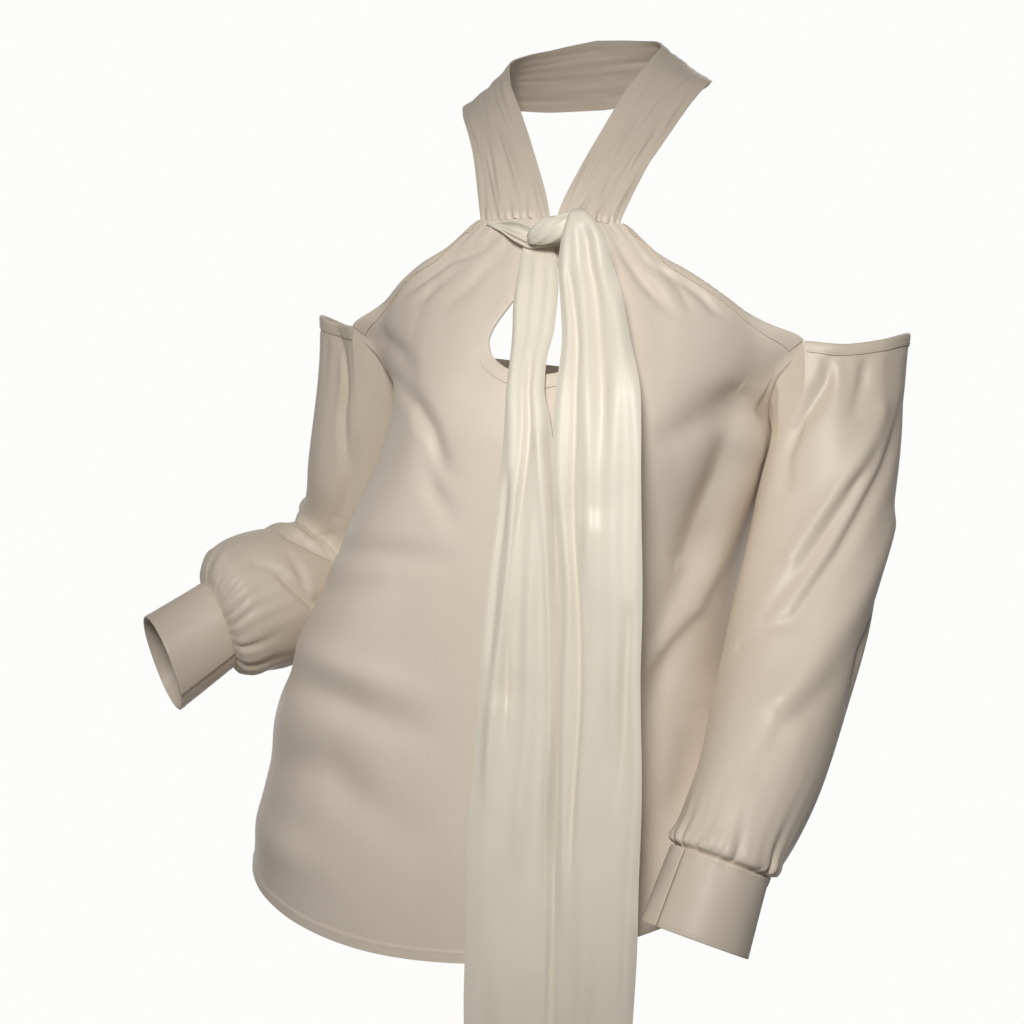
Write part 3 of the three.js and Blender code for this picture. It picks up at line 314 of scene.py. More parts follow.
sleeves = {
    "length": 430.0, "bend": 0.14, "clearance": 4.0,
    "cuffGathers": 24, "cuffGatherOut": 0.5, "cuffGatherFade": 44.0,
    "topGathers": 9, "topGatherOut": 1.5, "topGatherFade": 26.0, "armBand": 0.02,
    "armholeSteps": 6,
    "topTurn": [0, 0.25, 0.5, 0.75, 1], "topDeg": [-17, 90, 207, 270, 343],
}
leftArm = {
    "side": 1,
    "at": [0, 0.14, 0.3, 0.45, 0.62, 0.77, 0.9, 1],
    "x": [193, 189, 181, 171.5, 158.5, 148.5, 137.5, 131],
    "y": [-49, -57, -72, -94, -128, -158, -184, -195],
    "z": [-238, -293, -359, -417, -487, -537, -570, -586],
    "radius": [50, 48, 48, 48, 44.5, 40.5, 37, 32],
    "turn": [0, 0.2, 0.4, 0.55, 0.7, 0.86, 1],
    "edgeX": [0, 27, 56, 73, 62, 38, 0],
    "edgeY": [0, -14, -18, -2, 13, 17, 0],
    "edgeRise": [0, -3, 1, 9, 9, 4, 0],
    "folds": [
        {"at": (0.12, 0.42), "turn": (0.19, 0.03), "out": 2.5, "half": 7},
        {"at": (0.3, 0.66), "turn": (0.3, 0.1), "out": 4, "half": 13},
        {"at": (0.2, 0.6), "turn": (0.6, 0.44), "out": -5, "half": 12},
    ],
    "creases": [
        {"line": [(0.027, 0.081), (0.077, 0.056), (0.127, 0.017), (0.17, -0.019), (0.22, -0.039),
                  (0.287, -0.025)], "out": -5, "half": 7},
        {"line": [(0.03, 0.156), (0.077, 0.15), (0.137, 0.122)], "out": -3.2, "half": 5},
        {"line": [(0.107, 0.264), (0.197, 0.214), (0.28, 0.178), (0.403, 0.131), (0.527, 0.069),
                  (0.567, -0.05)], "out": -3.8, "half": (7, 4)},
        {"line": [(0.203, 0.172), (0.27, 0.136), (0.333, 0.106), (0.447, 0.058), (0.53, -0.003)],
         "out": -3.2, "half": 5},
        {"line": [(0.243, 0.15), (0.287, 0.125)], "out": -1.5, "half": 3},
        {"line": [(0.6, 0.2), (0.7, 0.12), (0.8, 0.09)], "out": -2.5, "half": 9},
        {"line": [(0.16, 0.52), (0.3, 0.44), (0.46, 0.4)], "out": -3.5, "half": 6},
        {"line": [(0.4, 0.34), (0.52, 0.28), (0.6, 0.3)], "out": -3, "half": 6},
    ],
    "cuffEnd": (116.5, -206.5, -635), "cuffFacing": (-0.28, -0.22, -0.93),
    "lapDeg": 290, "lapWay": 1, "ovalShare": 0.0, "ovalDeg": 0,
}
rightArm = {
    "side": -1,
    "at": [0, 0.12, 0.25, 0.38, 0.51, 0.66, 0.82, 0.93, 1],
    "x": [-182, -187, -197, -211, -230, -251, -267, -278, -289],
    "y": [-47, -30, -7, 17, 22, -7, -47, -70, -84],
    "z": [-229, -275, -317, -352, -385, -406, -415, -423, -435],
    "radius": [48, 47, 47, 51, 55, 57, 55.5, 48.5, 33],
    "turn": [0, 0.2, 0.4, 0.55, 0.7, 0.86, 1],
    "edgeX": [0, -17, -40, -52, -47, -27, 0],
    "edgeY": [0, -7, -14, -2, 12, 15, 0],
    "edgeRise": [0, 5, 13, 20, 17, 8, 0],
    "folds": [
        {"at": (0.38, 0.4), "turn": (0.3, 0.1), "out": 3.5, "half": 11},
        {"at": (0.46, 0.47), "turn": (0.26, 0.0), "out": -3, "half": 8},
        {"at": (0.2, 0.55), "turn": (0.6, 0.5), "out": -4, "half": 11},
    ],
    "creases": [
        {"line": [(0.013, 0.103), (0.043, 0.075), (0.08, 0.053), (0.117, 0.064), (0.153, 0.053),
                  (0.17, 0.047)], "out": -4.5, "half": 5},
        {"line": [(0.153, 0.017), (0.183, 0.031), (0.227, 0.042), (0.29, 0.061)],
         "out": -4, "half": 6},
        {"line": [(0.727, -0.042), (0.56, 0.03), (0.39, 0.106), (0.35, 0.078)],
         "out": -3.5, "half": 4},
        {"line": [(0.747, 0.089), (0.773, -0.017), (0.733, -0.064), (0.683, -0.092), (0.617, -0.092)],
         "out": -5, "half": (5, 8)},
        {"line": [(0.7, 0.1), (0.72, -0.01), (0.69, -0.05)], "out": 3.5, "half": 7},
        {"line": [(0.897, -0.044), (0.867, -0.083), (0.857, -0.122), (0.843, -0.156), (0.813, -0.203),
                  (0.79, -0.194)], "out": -4, "half": 4.5},
        {"line": [(0.82, -0.075), (0.817, -0.119), (0.823, -0.169)], "out": -2.5, "half": 6},
        {"line": [(0.5, 0.2), (0.6, 0.14), (0.66, 0.12)], "out": -3.5, "half": 6},
        {"line": [(0.3, 0.3), (0.4, 0.24), (0.46, 0.3)], "out": -3, "half": 7},
        {"line": [(0.16, 0.5), (0.3, 0.42), (0.44, 0.4)], "out": -3.5, "half": 6},
    ],
    "cuffEnd": (-326, -117, -469), "cuffFacing": (-0.7, -0.62, -0.36),
    "lapDeg": 284, "lapWay": -1, "ovalShare": 0.11, "ovalDeg": 20,
}


# The edge of the armhole and of the cold shoulder, once round from the front corner
def sleeveEdge(arm, turn):
    side = arm["side"]
    gap = cloth["seamGap"] + cloth["wall"]
    steps = sleeves["armholeSteps"]
    frontCorner = frontPoint(side * frontEdge["corner"], 0.0)
    backCorner = backPoint(side * backEdge["corner"], 0.0)
    t = np.clip(turn * 2, 0, 1)
    outer = frontCorner + (backCorner - frontCorner) * t[..., None]
    off = [readTable(arm, "turn", k, t) for k in ("edgeX", "edgeY", "edgeRise")]
    outer = outer + np.stack([off[0] + side * gap, off[1], off[2]], axis=-1)
    frontRow = frontPoint(side * np.linspace(frontEdge["corner"], 1, steps + 1), 0.0)
    backRow = backPoint(side * np.linspace(backEdge["corner"], 1, steps + 1), 0.0)
    isBack = turn < 0.75
    step = np.clip(np.where(isBack, (turn - 0.5) / 0.25, (1 - turn) / 0.25) * steps, 0, steps)
    i = np.minimum(np.floor(step).astype(int), steps - 1)
    part = (step - i)[..., None]
    onBack = backRow[i] + (backRow[i + 1] - backRow[i]) * part
    onFront = frontRow[i] + (frontRow[i + 1] - frontRow[i]) * part
    inner = np.where(isBack[..., None], onBack, onFront)
    inner[..., 0] += side * gap
    return np.where((turn <= 0.5)[..., None], outer, inner)


def armCentre(arm, at):
    return np.stack([readTable(arm, "at", k, at) for k in ("x", "y", "z")], axis=-1)


def sleeveRing(arm, at):
    side, bend = arm["side"], sleeves["bend"]
    toCuff = unit(np.asarray(arm["cuffFacing"], float))
    ahead = unit(armCentre(arm, np.minimum(at + bend, 1)) - armCentre(arm, np.maximum(at - bend, 0)))
    turnTo = ease((at - 0.84) / 0.16)[..., None]
    ahead = unit(ahead + (toCuff - ahead) * turnTo)
    outside = np.zeros(np.shape(ahead))
    outside[..., 0] = side
    outside = unit(outside - side * ahead[..., :1] * ahead)
    front = np.cross(ahead, outside) * side
    return armCentre(arm, at), ahead, front, outside, readTable(arm, "at", "radius", at)


# How much wider than round a cuff and the sleeve just above it are, at a turn round them
def ovalAt(arm, angle, at):
    along = np.cos(2 * (angle - math.radians(arm["ovalDeg"])))
    return 1 + arm["ovalShare"] * along * ease((at - 0.75) / 0.25)


def sleevePoint(arm, turn, at, out=0.0):
    turn, at = np.broadcast_arrays(np.asarray(turn, float), np.asarray(at, float))
    side, length = arm["side"], sleeves["length"]
    centre, _, front, outside, radius = sleeveRing(arm, at)
    fromCuff, fromTop = (1 - at) * length, at * length
    topDeg = readTable(sleeves, "topTurn", "topDeg", turn)
    angle = np.radians(mix(topDeg, 360 * turn - 17, ease(at / 0.35)))
    away = front * np.cos(angle)[..., None] + outside * np.sin(angle)[..., None]
    wave = np.cos(2 * np.pi * sleeves["cuffGathers"] * turn)
    uneven = 0.8 + 0.3 * np.sin(31 * turn)
    lift = (sleeves["cuffGatherOut"] * wave * uneven * np.exp(-fromCuff / sleeves["cuffGatherFade"])
            * ease(fromCuff / 4 + 0.45))
    topWave = 0.5 - 0.5 * np.cos(4 * np.pi * sleeves["topGathers"] * turn)
    top = (sleeves["topGatherOut"] * topWave * np.exp(-fromTop / sleeves["topGatherFade"])
           * ease((at - sleeves["armBand"]) * length / 6) * ease(turn / 0.06) * ease((0.5 - turn) / 0.06))
    lift = lift + np.where(turn < 0.5, top, 0)
    girth = 2 * np.pi * radius
    for fold in arm["folds"]:
        (at0, at1), (turn0, turn1) = fold["at"], fold["turn"]
        runAt, runTurn = (at1 - at0) * length, (turn1 - turn0) * girth
        for lap in (-1, 0, 1):
            offAt, offTurn = (at - at0) * length, (turn + lap - turn0) * girth
            t = np.clip((offAt * runAt + offTurn * runTurn) / (runAt ** 2 + runTurn ** 2), 0, 1)
            near = np.hypot(offAt - runAt * t, offTurn - runTurn * t)
            lift = lift + (fold["out"] * np.exp(-(near / fold["half"]) ** 2) * ease(fromTop / 30)
                           * ease(fromCuff / 30))
    spot = centre + away * (radius * ovalAt(arm, angle, at) + lift + out)[..., None]
    centre0, _, front0, outside0, radius0 = sleeveRing(arm, np.zeros(np.shape(at)))
    angle0 = np.radians(topDeg)
    away0 = front0 * np.cos(angle0)[..., None] + outside0 * np.sin(angle0)[..., None]
    first = centre0 + away0 * radius0[..., None]
    fromEdge = (1 - ease(at / 0.24))[..., None]
    spot = spot + (sleeveEdge(arm, turn) - first) * fromEdge
    clear = mix(cloth["seamGap"] + cloth["wall"], sleeves["clearance"], ease(at / 0.1))
    down = -spot[..., 2] - tiltAt(-spot[..., 2]) * spot[..., 0]
    bodyX = bodySideX(side, spot[..., 1], down)
    blocked = side * spot[..., 0] < side * bodyX + clear
    spot[..., 0] = np.where(blocked, bodyX + side * clear, spot[..., 0])
    return spot


# Small uneven ripples, the same on each run
def ripple(x, down, size, seed):
    draw = np.random.RandomState(seed)
    total = np.zeros(np.shape(x))
    for n in range(7):
        angle = draw.uniform(-0.6, 0.6)
        length = size * draw.uniform(0.7, 1.7)
        shift = draw.uniform(0, 6.28)
        across = x * math.cos(angle) + down * math.sin(angle) * 0.6
        wander = 1.5 * np.sin(down / (size * 2.1) + shift)
        total += np.sin(2 * np.pi * across / length + shift + wander)
    return total / 7


# A square grid to lay on a surface, with the place of each corner across it and along it, 0 to 1
def clothGrid(name, across, along):
    bpy.ops.object.select_all(action="DESELECT")
    bpy.ops.mesh.primitive_grid_add(x_subdivisions=across, y_subdivisions=along, size=1)
    piece = bpy.context.object
    piece.name = name
    piece.data.name = name
    flat = np.empty(len(piece.data.vertices) * 3)
    piece.data.vertices.foreach_get("co", flat)
    flat = flat.reshape(-1, 3) + 0.5
    return piece, flat[:, 0], flat[:, 1]


def onlySelect(piece):
    bpy.ops.object.select_all(action="DESELECT")
    piece.select_set(True)
    bpy.context.view_layer.objects.active = piece


# Lay a grid at its spots, scale its weave to the cut, close a tube, and turn its faces away from
# the spots named as inside
def layCloth(piece, spots, inside, cut=(0.1, 0.1), closed=False):
    mesh = piece.data
    mesh.vertices.foreach_set("co", (spots * mm).ravel())
    weave = mesh.uv_layers.active
    flat = np.empty(len(weave.data) * 2)
    weave.data.foreach_get("uv", flat)
    weave.data.foreach_set("uv", (flat.reshape(-1, 2) * np.array(cut)).ravel())
    mesh.update()
    step = max(1, len(mesh.polygons) // 400)
    leaning = 0.0
    for n in range(0, len(mesh.polygons), step):
        face = mesh.polygons[n]
        under = Vector(inside[face.vertices[0]] * mm)
        leaning += face.normal.dot(face.center - under)
    onlySelect(piece)
    bpy.ops.object.mode_set(mode="EDIT")
    bpy.ops.mesh.select_all(action="SELECT")
    if leaning < 0:
        bpy.ops.mesh.flip_normals()
    if closed:
        bpy.ops.mesh.remove_doubles(threshold=0.00002)
    bpy.ops.object.mode_set(mode="OBJECT")


# Give a sheet its thickness, inwards at -1 and outwards at 1, and a finish
def giveWall(piece, thick, finish, offset=-1, soft=0.0):
    onlySelect(piece)
    wall = piece.modifiers.new("wall", "SOLIDIFY")
    wall.thickness = thick * mm
    wall.offset = offset
    bpy.ops.object.modifier_apply(modifier="wall")
    if soft:
        edges = piece.modifiers.new("edges", "BEVEL")
        edges.width = soft * mm
        edges.segments = 2
        edges.limit_method = "ANGLE"
        edges.angle_limit = math.radians(50)
        bpy.ops.object.modifier_apply(modifier="edges")
    bpy.ops.object.shade_smooth_by_angle(angle=math.radians(50))
    piece.data.materials.clear()
    piece.data.materials.append(finish["material"])
    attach(piece, "root")
    return piece


# Make a cloth from the spots of its grid, to take the place of a node of the frame
def makeCloth(name, node, grid, spotAt, cut, finish, wall=cloth["wall"], soft=0.0, closed=False):
    piece, a, b = clothGrid(name, *grid)
    layCloth(piece, spotAt(a, b), spotAt(a, b, -1.0), cut, closed)
    giveWall(piece, wall, finish, soft=soft)
    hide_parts(node)
    return piece


# A satin finish: long threads in the weave, uneven sheen and a slight change of colour
def satin(slot, look):
    material = bpy.data.materials.new(slot)
    material.use_nodes = True
    nodes, links = material.node_tree.nodes, material.node_tree.links
    shader = nodes["Principled BSDF"]
    shader.inputs["Sheen Weight"].default_value = look["sheen"]
    shader.inputs["Sheen Roughness"].default_value = 0.45
    shader.inputs["Sheen Tint"].default_value = (*look["light"], 1)
    shader.inputs["Specular IOR Level"].default_value = 0.45
    shader.inputs["Anisotropic"].default_value = 0.35
    shader.inputs["Subsurface Weight"].default_value = 0.0
    place = nodes.new("ShaderNodeTexCoord")

    def noise(source, scale, size, detail):
        fit = nodes.new("ShaderNodeMapping")
        fit.inputs["Scale"].default_value = scale
        links.new(source, fit.inputs["Vector"])
        cloud = nodes.new("ShaderNodeTexNoise")
        cloud.inputs["Scale"].default_value = size
        cloud.inputs["Detail"].default_value = detail
        links.new(fit.outputs["Vector"], cloud.inputs["Vector"])
        return cloud.outputs["Fac"]

    wide = noise(place.outputs["Object"], (1, 1, 0.6), 9, 3)
    threads = noise(place.outputs["UV"], (1, 0.07, 1), 1900, 2)
    across = noise(place.outputs["UV"], (0.16, 1, 1), 1500, 2)

    def spread(source, low, high):
        ramp = nodes.new("ShaderNodeMapRange")
        ramp.inputs["From Min"].default_value = 0.3
        ramp.inputs["From Max"].default_value = 0.7
        ramp.inputs["To Min"].default_value = low
        ramp.inputs["To Max"].default_value = high
        links.new(source, ramp.inputs["Value"])
        return ramp.outputs["Result"]

    def blend(kind, amount, first, second):
        join = nodes.new("ShaderNodeMix")
        join.data_type = "RGBA"
        join.blend_type = kind
        if isinstance(amount, float):
            join.inputs["Factor"].default_value = amount
        else:
            links.new(amount, join.inputs["Factor"])
        for socket, value in ((join.inputs[6], first), (join.inputs[7], second)):
            if isinstance(value, tuple):
                socket.default_value = (*value, 1)
            else:
                links.new(value, socket)
        return join.outputs[2]

    base = blend("MIX", spread(wide, 0.0, 1.0), look["dark"], look["light"])
    weave = blend("MULTIPLY", 0.10, base, spread(threads, 0.72, 1.0))
    links.new(weave, shader.inputs["Base Color"])
    links.new(spread(wide, look["gloss"] - 0.05, look["gloss"] + 0.06), shader.inputs["Roughness"])

    raised = nodes.new("ShaderNodeMath")
    raised.operation = "ADD"
    links.new(threads, raised.inputs[0])
    links.new(across, raised.inputs[1])
    bump = nodes.new("ShaderNodeBump")
    bump.inputs["Strength"].default_value = look["weave"]
    bump.inputs["Distance"].default_value = 0.0003
    links.new(raised.outputs[0], bump.inputs["Height"])
    links.new(bump.outputs["Normal"], shader.inputs["Normal"])
    return {"material": material, "slot": slot}


bodySatin = satin("body_satin", {
    "light": (0.80, 0.715, 0.62), "dark": (0.73, 0.645, 0.55), "gloss": 0.40, "sheen": 0.15,
    "weave": 0.12,
})
# The body's satin made darker: painted shade on the sleeves, cuffs, arm bands, neck band and their
# stitches
sleeveSatinPaintedShade = satin("sleeve_satin", {
    "light": (0.76, 0.675, 0.575), "dark": (0.69, 0.605, 0.505), "gloss": 0.45, "sheen": 0.12,
    "weave": 0.12,
})
# The body's satin made lighter: painted highlight standing in for the sheen on the sash tails and the
# knot
sashSatinPaintedHighlight = satin("sash_satin", {
    "light": (0.87, 0.82, 0.71), "dark": (0.80, 0.745, 0.64), "gloss": 0.42, "sheen": 0.15,
    "weave": 0.12,
})
thread = {"long": 2.0, "thick": 0.45, "apart": 3.1}

# One small stitch, modelled once. Rows of it are laid along the seams
bpy.ops.object.select_all(action="DESELECT")
bpy.ops.mesh.primitive_uv_sphere_add(segments=6, ring_count=4, radius=0.5)
oneStitch = bpy.context.object
stitchSpots = np.array([tuple(v.co) for v in oneStitch.data.vertices])
stitchSpots = stitchSpots[:, [2, 0, 1]] * [thread["long"], thread["thick"], thread["thick"]]
stitchFaces = [tuple(face.vertices) for face in oneStitch.data.polygons]
bpy.data.objects.remove(oneStitch)


# A row of stitches along a seam, from the seam's points and the same points moved out
def stitchRow(name, seams, finish):
    spots, faces = [], []
    for line, above in seams:
        steps = np.linalg.norm(np.diff(line, axis=0), axis=1)
        run = np.concatenate([[0], np.cumsum(steps)])
        count = max(2, int(run[-1] / thread["apart"]))
        for at in (np.arange(count) + 0.5) / count * run[-1]:
            ends = [np.array([np.interp(at + d, run, line[:, k]) for k in range(3)])
                    for d in (-0.6, 0.6)]
            up = np.array([np.interp(at, run, (above - line)[:, k]) for k in range(3)])
            along, up = unit(ends[1] - ends[0]), unit(up)
            side = unit(np.cross(up, along))
            middle = (ends[0] + ends[1]) / 2 + up * 0.12
            base = len(spots) * len(stitchSpots)
            spots.append(middle + stitchSpots @ np.array([along, side, up]))
            faces.extend(tuple(base + n for n in face) for face in stitchFaces)
    mesh = bpy.data.meshes.new(name)
    mesh.from_pydata((np.concatenate(spots) * mm).tolist(), [], faces)
    piece = bpy.data.objects.new(name, mesh)
    bpy.context.collection.objects.link(piece)
    mesh.uv_layers.new(name="weave")
    onlySelect(piece)
    bpy.ops.object.mode_set(mode="EDIT")
    bpy.ops.mesh.select_all(action="SELECT")
    bpy.ops.mesh.normals_make_consistent(inside=False)
    bpy.ops.object.mode_set(mode="OBJECT")
    bpy.ops.object.shade_smooth()
    mesh.materials.append(finish["material"])
    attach(piece, "root")
    return piece


# The section of a strip folded over an edge: how far in from the edge, and how far out
foldOver = [(1.0, 0.15), (0.75, 0.2), (0.4, 0.25), (0.05, 0.2), (-0.045, -0.1), (-0.07, -0.6),
            (-0.045, -1.1), (0.05, -1.4), (0.5, -1.4), (1.0, -1.35)]


# A strip that wraps an edge. spotAt gives the cloth's point at a place along the edge, a distance
# in from it and a height off it
def edgeStrip(name, spotAt, width, steps, finish, cut, closed=False):
    piece, s, w = clothGrid(name, steps, len(foldOver) - 1)
    row = np.clip(np.rint(w * (len(foldOver) - 1)).astype(int), 0, len(foldOver) - 1)
    table = np.array(foldOver)
    inward, out = table[row, 0] * width, table[row, 1]
    spots = spotAt(s, np.maximum(inward, 0), out)
    edge = spotAt(s, np.zeros(len(s)), out)
    past = unit(edge - spotAt(s, np.full(len(s), 3.0), out))
    spots = np.where((inward < 0)[:, None], edge + past * -inward[:, None], spots)
    inside = spotAt(s, np.full(len(s), width * 0.4), np.full(len(s), -0.6))
    layCloth(piece, spots, inside, cut, closed)
    return giveWall(piece, cloth["layer"], finish, offset=1)


# Front panel
frontLook = {
    "grid": (250, 184), "long": 500, "hem": 7.0, "hemOut": 0.5, "keyholeUnder": 4.0,
    "rippleOut": 0.35, "rippleSize": 46,
}


# Rows of a panel, closer together over the last millimetres that the hem folds back
def rowPlaces(v, long, hem):
    return np.interp(v, [0, 0.93, 0.945, 1], [0, 1 - (hem + 2) / long, 1 - hem / long, 1])


def frontSpot(u, v, out=0.0):
    deg, down, top = frontPlace(u, v)
    fromHem = (1 - v) * frontLook["long"]
    hem = frontLook["hemOut"] * (1 - ease((fromHem - frontLook["hem"]) / 1.5))
    x = bodySkin(deg, down)[..., 0]
    small = frontLook["rippleOut"] * ripple(x, down, frontLook["rippleSize"], 4)
    return frontPoint(u, v, np.asarray(out) + hem + small * ease((down - top) / 12))


# The place on the front panel of a point in x and distance down
def frontAt(x, down):
    middle = bodySkin(np.zeros(np.shape(x)), down)[..., 0]
    side = np.where(x < middle, -1.0, 1.0)
    low, high = np.zeros(np.shape(x)), np.ones(np.shape(x))
    for n in range(28):
        edge = (low + high) / 2
        top = readTable(frontEdge, "u", "down", edge)
        hemDeg = readTable(frontEdge, "u", "hemDeg", edge)
        hem = body["frontHemDown"] - body["sideHemRise"] * ease(hemDeg / body["hemRiseDeg"])
        v = np.clip((down - top) / (hem - top), 0, 1)
        deg = frontPlace(side * edge, v)[0]
        isPast = side * bodySkin(deg, down)[..., 0] > side * x
        high = np.where(isPast, edge, high)
        low = np.where(isPast, low, edge)
    return side * edge, v


keyhole = {
    "x": 5.5, "slit": 2.2, "slitTop": 148.5, "binding": 9.0,
    "down": [176, 189, 206, 225, 234, 242, 252, 260, 264.5, 266],
    "half": [2.2, 12.5, 22, 33, 36.6, 37.4, 33.5, 24, 12, 0],
}


# The edge of the slit and keyhole, evenly spaced, in x and distance down. grow moves it outwards
def keyholeLine(steps, grow):
    half, down = np.array(keyhole["half"]), np.array(keyhole["down"], float)
    plus = np.stack([keyhole["x"] + half, down], axis=1)
    minus = np.stack([keyhole["x"] - half, down], axis=1)[:-1][::-1]
    slit = keyhole["slit"]
    line = np.vstack([[keyhole["x"] + slit, keyhole["slitTop"]], plus, minus,
                      [keyhole["x"] - slit, keyhole["slitTop"]]])
    before = np.vstack([2 * line[0] - line[1], line, 2 * line[-1] - line[-2]])
    fine = []
    for i in range(len(line) - 1):
        p0, p1, p2, p3 = before[i:i + 4]
        for t in np.linspace(0, 1, 16, endpoint=False):
            fine.append(0.5 * (2 * p1 + (p2 - p0) * t + (2 * p0 - 5 * p1 + 4 * p2 - p3) * t * t
                               + (3 * p1 - p0 - 3 * p2 + p3) * t ** 3))
    fine = np.array(fine + [line[-1]])
    run = np.concatenate([[0], np.cumsum(np.hypot(*np.diff(fine, axis=0).T))])
    at = np.clip(np.asarray(steps), 0, 1) * run[-1]
    spot = np.stack([np.interp(at, run, fine[:, k]) for k in (0, 1)], axis=-1)
    near = [np.stack([np.interp(np.clip(at + d, 0, run[-1]), run, fine[:, k]) for k in (0, 1)],
                     axis=-1) for d in (-1.5, 1.5)]
    tangent = unit(near[1] - near[0])
    normal = np.stack([tangent[..., 1], -tangent[..., 0]], axis=-1)
    return spot + normal * np.asarray(grow)[..., None]


def isWithin(line, x, down):
    inside = np.zeros(np.shape(x), bool)
    for (ax, ad), (bx, bd) in zip(line, np.roll(line, -1, axis=0)):
        if ad != bd:
            crossing = (ad > down) != (bd > down)
            inside ^= crossing & (x < (bx - ax) * (down - ad) / (bd - ad) + ax)
    return inside


def frontPanel():
    piece, a, b = clothGrid("front_panel", *frontLook["grid"])
    u, v = 2 * a - 1, rowPlaces(b, frontLook["long"], frontLook["hem"])
    spots = frontSpot(u, v)
    layCloth(piece, spots, frontSpot(u, v, -1.0), (0.46, 0.5))
    under = keyholeLine(np.linspace(0, 1, 160), np.full(160, frontLook["keyholeUnder"]))
    under = np.vstack([[under[0][0], 120], under, [under[-1][0], 120]])
    mesh = piece.data
    flat = np.empty(len(mesh.polygons) * 3)
    mesh.polygons.foreach_get("center", flat)
    flat = flat.reshape(-1, 3) / mm
    down = -flat[:, 2] - body["tilt"] * flat[:, 0]
    mesh.polygons.foreach_set("select", isWithin(under, flat[:, 0], down))
    bpy.ops.object.mode_set(mode="EDIT")
    bpy.ops.mesh.select_mode(type="FACE")
    bpy.ops.object.mode_set(mode="OBJECT")
    mesh.polygons.foreach_set("select", isWithin(under, flat[:, 0], down))
    bpy.ops.object.mode_set(mode="EDIT")
    bpy.ops.mesh.delete(type="FACE")
    bpy.ops.object.mode_set(mode="OBJECT")
    giveWall(piece, cloth["wall"], bodySatin)
    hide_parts("front")
    return piece


front = frontPanel()
print("front panel laid")

# Back panel
backLook = {"grid": (170, 140), "long": 430, "hem": 7.0, "hemOut": 0.5}


def backSpot(u, v, out=0.0):
    deg, down, top = backPlace(u, v)
    fromHem = (1 - v) * backLook["long"]
    hem = backLook["hemOut"] * (1 - ease((fromHem - backLook["hem"]) / 1.5))
    x = bodySkin(deg, down)[..., 0]
    small = frontLook["rippleOut"] * ripple(x + 300, down, frontLook["rippleSize"], 9)
    spot = backPoint(u, v, np.asarray(out) + hem + small * ease((down - top) / 12))
    spot[..., 1] += 0.8 * ease((np.abs(u) - 0.9) / 0.1)
    return spot


def backGridSpot(a, b, out=0.0):
    return backSpot(2 * a - 1, rowPlaces(b, backLook["long"], backLook["hem"]), out)


back = makeCloth("back_panel", "back", backLook["grid"], backGridSpot, (0.44, 0.44), bodySatin)
print("back panel laid")

# Bindings folded over the slopes of the front, the back's top edge and the keyhole
binding = {"width": 7.0, "stitchAt": 5.6}


def frontSlope(side):
    def spotAt(s, inward, out):
        u = side * mix(frontEdge["neckSeam"], frontEdge["corner"] - 0.006, s)
        return frontSpot(u, inward * 1.2 / 450, out)
    return spotAt


def backSlope(s, inward, out):
    return backSpot(mix(-1, 1, s) * (backEdge["corner"] - 0.006), inward / 440, out)


def keyholeSpot(s, inward, out):
    place = keyholeLine(s, inward)
    u, v = frontAt(place[..., 0], np.maximum(place[..., 1], frontEdge["down"][0] + 0.5))
    return frontSpot(u, v, out)


def seamLines(spotAt, inward, out, steps=240, span=(0, 1)):
    s = np.linspace(*span, steps)
    flat = np.full(steps, float(inward))
    return spotAt(s, flat, np.full(steps, out)), spotAt(s, flat, np.full(steps, out + 1.0))


bound = []
for side, name in ((1, "left"), (-1, "right")):
    strip = edgeStrip("front_edge_" + name, frontSlope(side), binding["width"], 90, bodySatin,
                      (0.16, 0.02))
    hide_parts("front_binding_" + name)
    bound.append(strip)
backStrip = edgeStrip("back_edge", backSlope, binding["width"], 120, bodySatin, (0.3, 0.02))
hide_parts("back_binding")
keyholeStrip = edgeStrip("keyhole_edge", keyholeSpot, keyhole["binding"], 170, bodySatin,
                         (0.26, 0.02))
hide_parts("keyhole_binding")
print("bindings folded over their edges")

# Sleeves: the cloth puffs out of the cuff between uneven creases, sharpest at the seam
gathers = {"count": 27, "deep": 4.2, "puff": 4.2, "puffAt": 11.0, "puffHalf": 17.0}
gatherDraw = np.random.RandomState(12)
gatherCount = gathers["count"]
gatherSteps = np.arange(gatherCount) + gatherDraw.uniform(-0.4, 0.4, gatherCount)
gatherTurns = gatherSteps / gatherCount
gatherDeeps = gathers["deep"] * gatherDraw.uniform(0.4, 1.15, gatherCount)
gatherLongs = gatherDraw.uniform(8, 34, gatherCount)
gatherWides = gatherDraw.uniform(0.0052, 0.0092, gatherCount)
gatherLeans = gatherDraw.uniform(-0.0011, 0.0011, gatherCount)
sleeveLook = {"grid": (250, 170), "ripple": 0.5, "rippleSize": 52, "rightShift": 700, "tuck": 5.0,
              "underCuff": 1.9, "girth": 283.0, "sewn": 1.9}


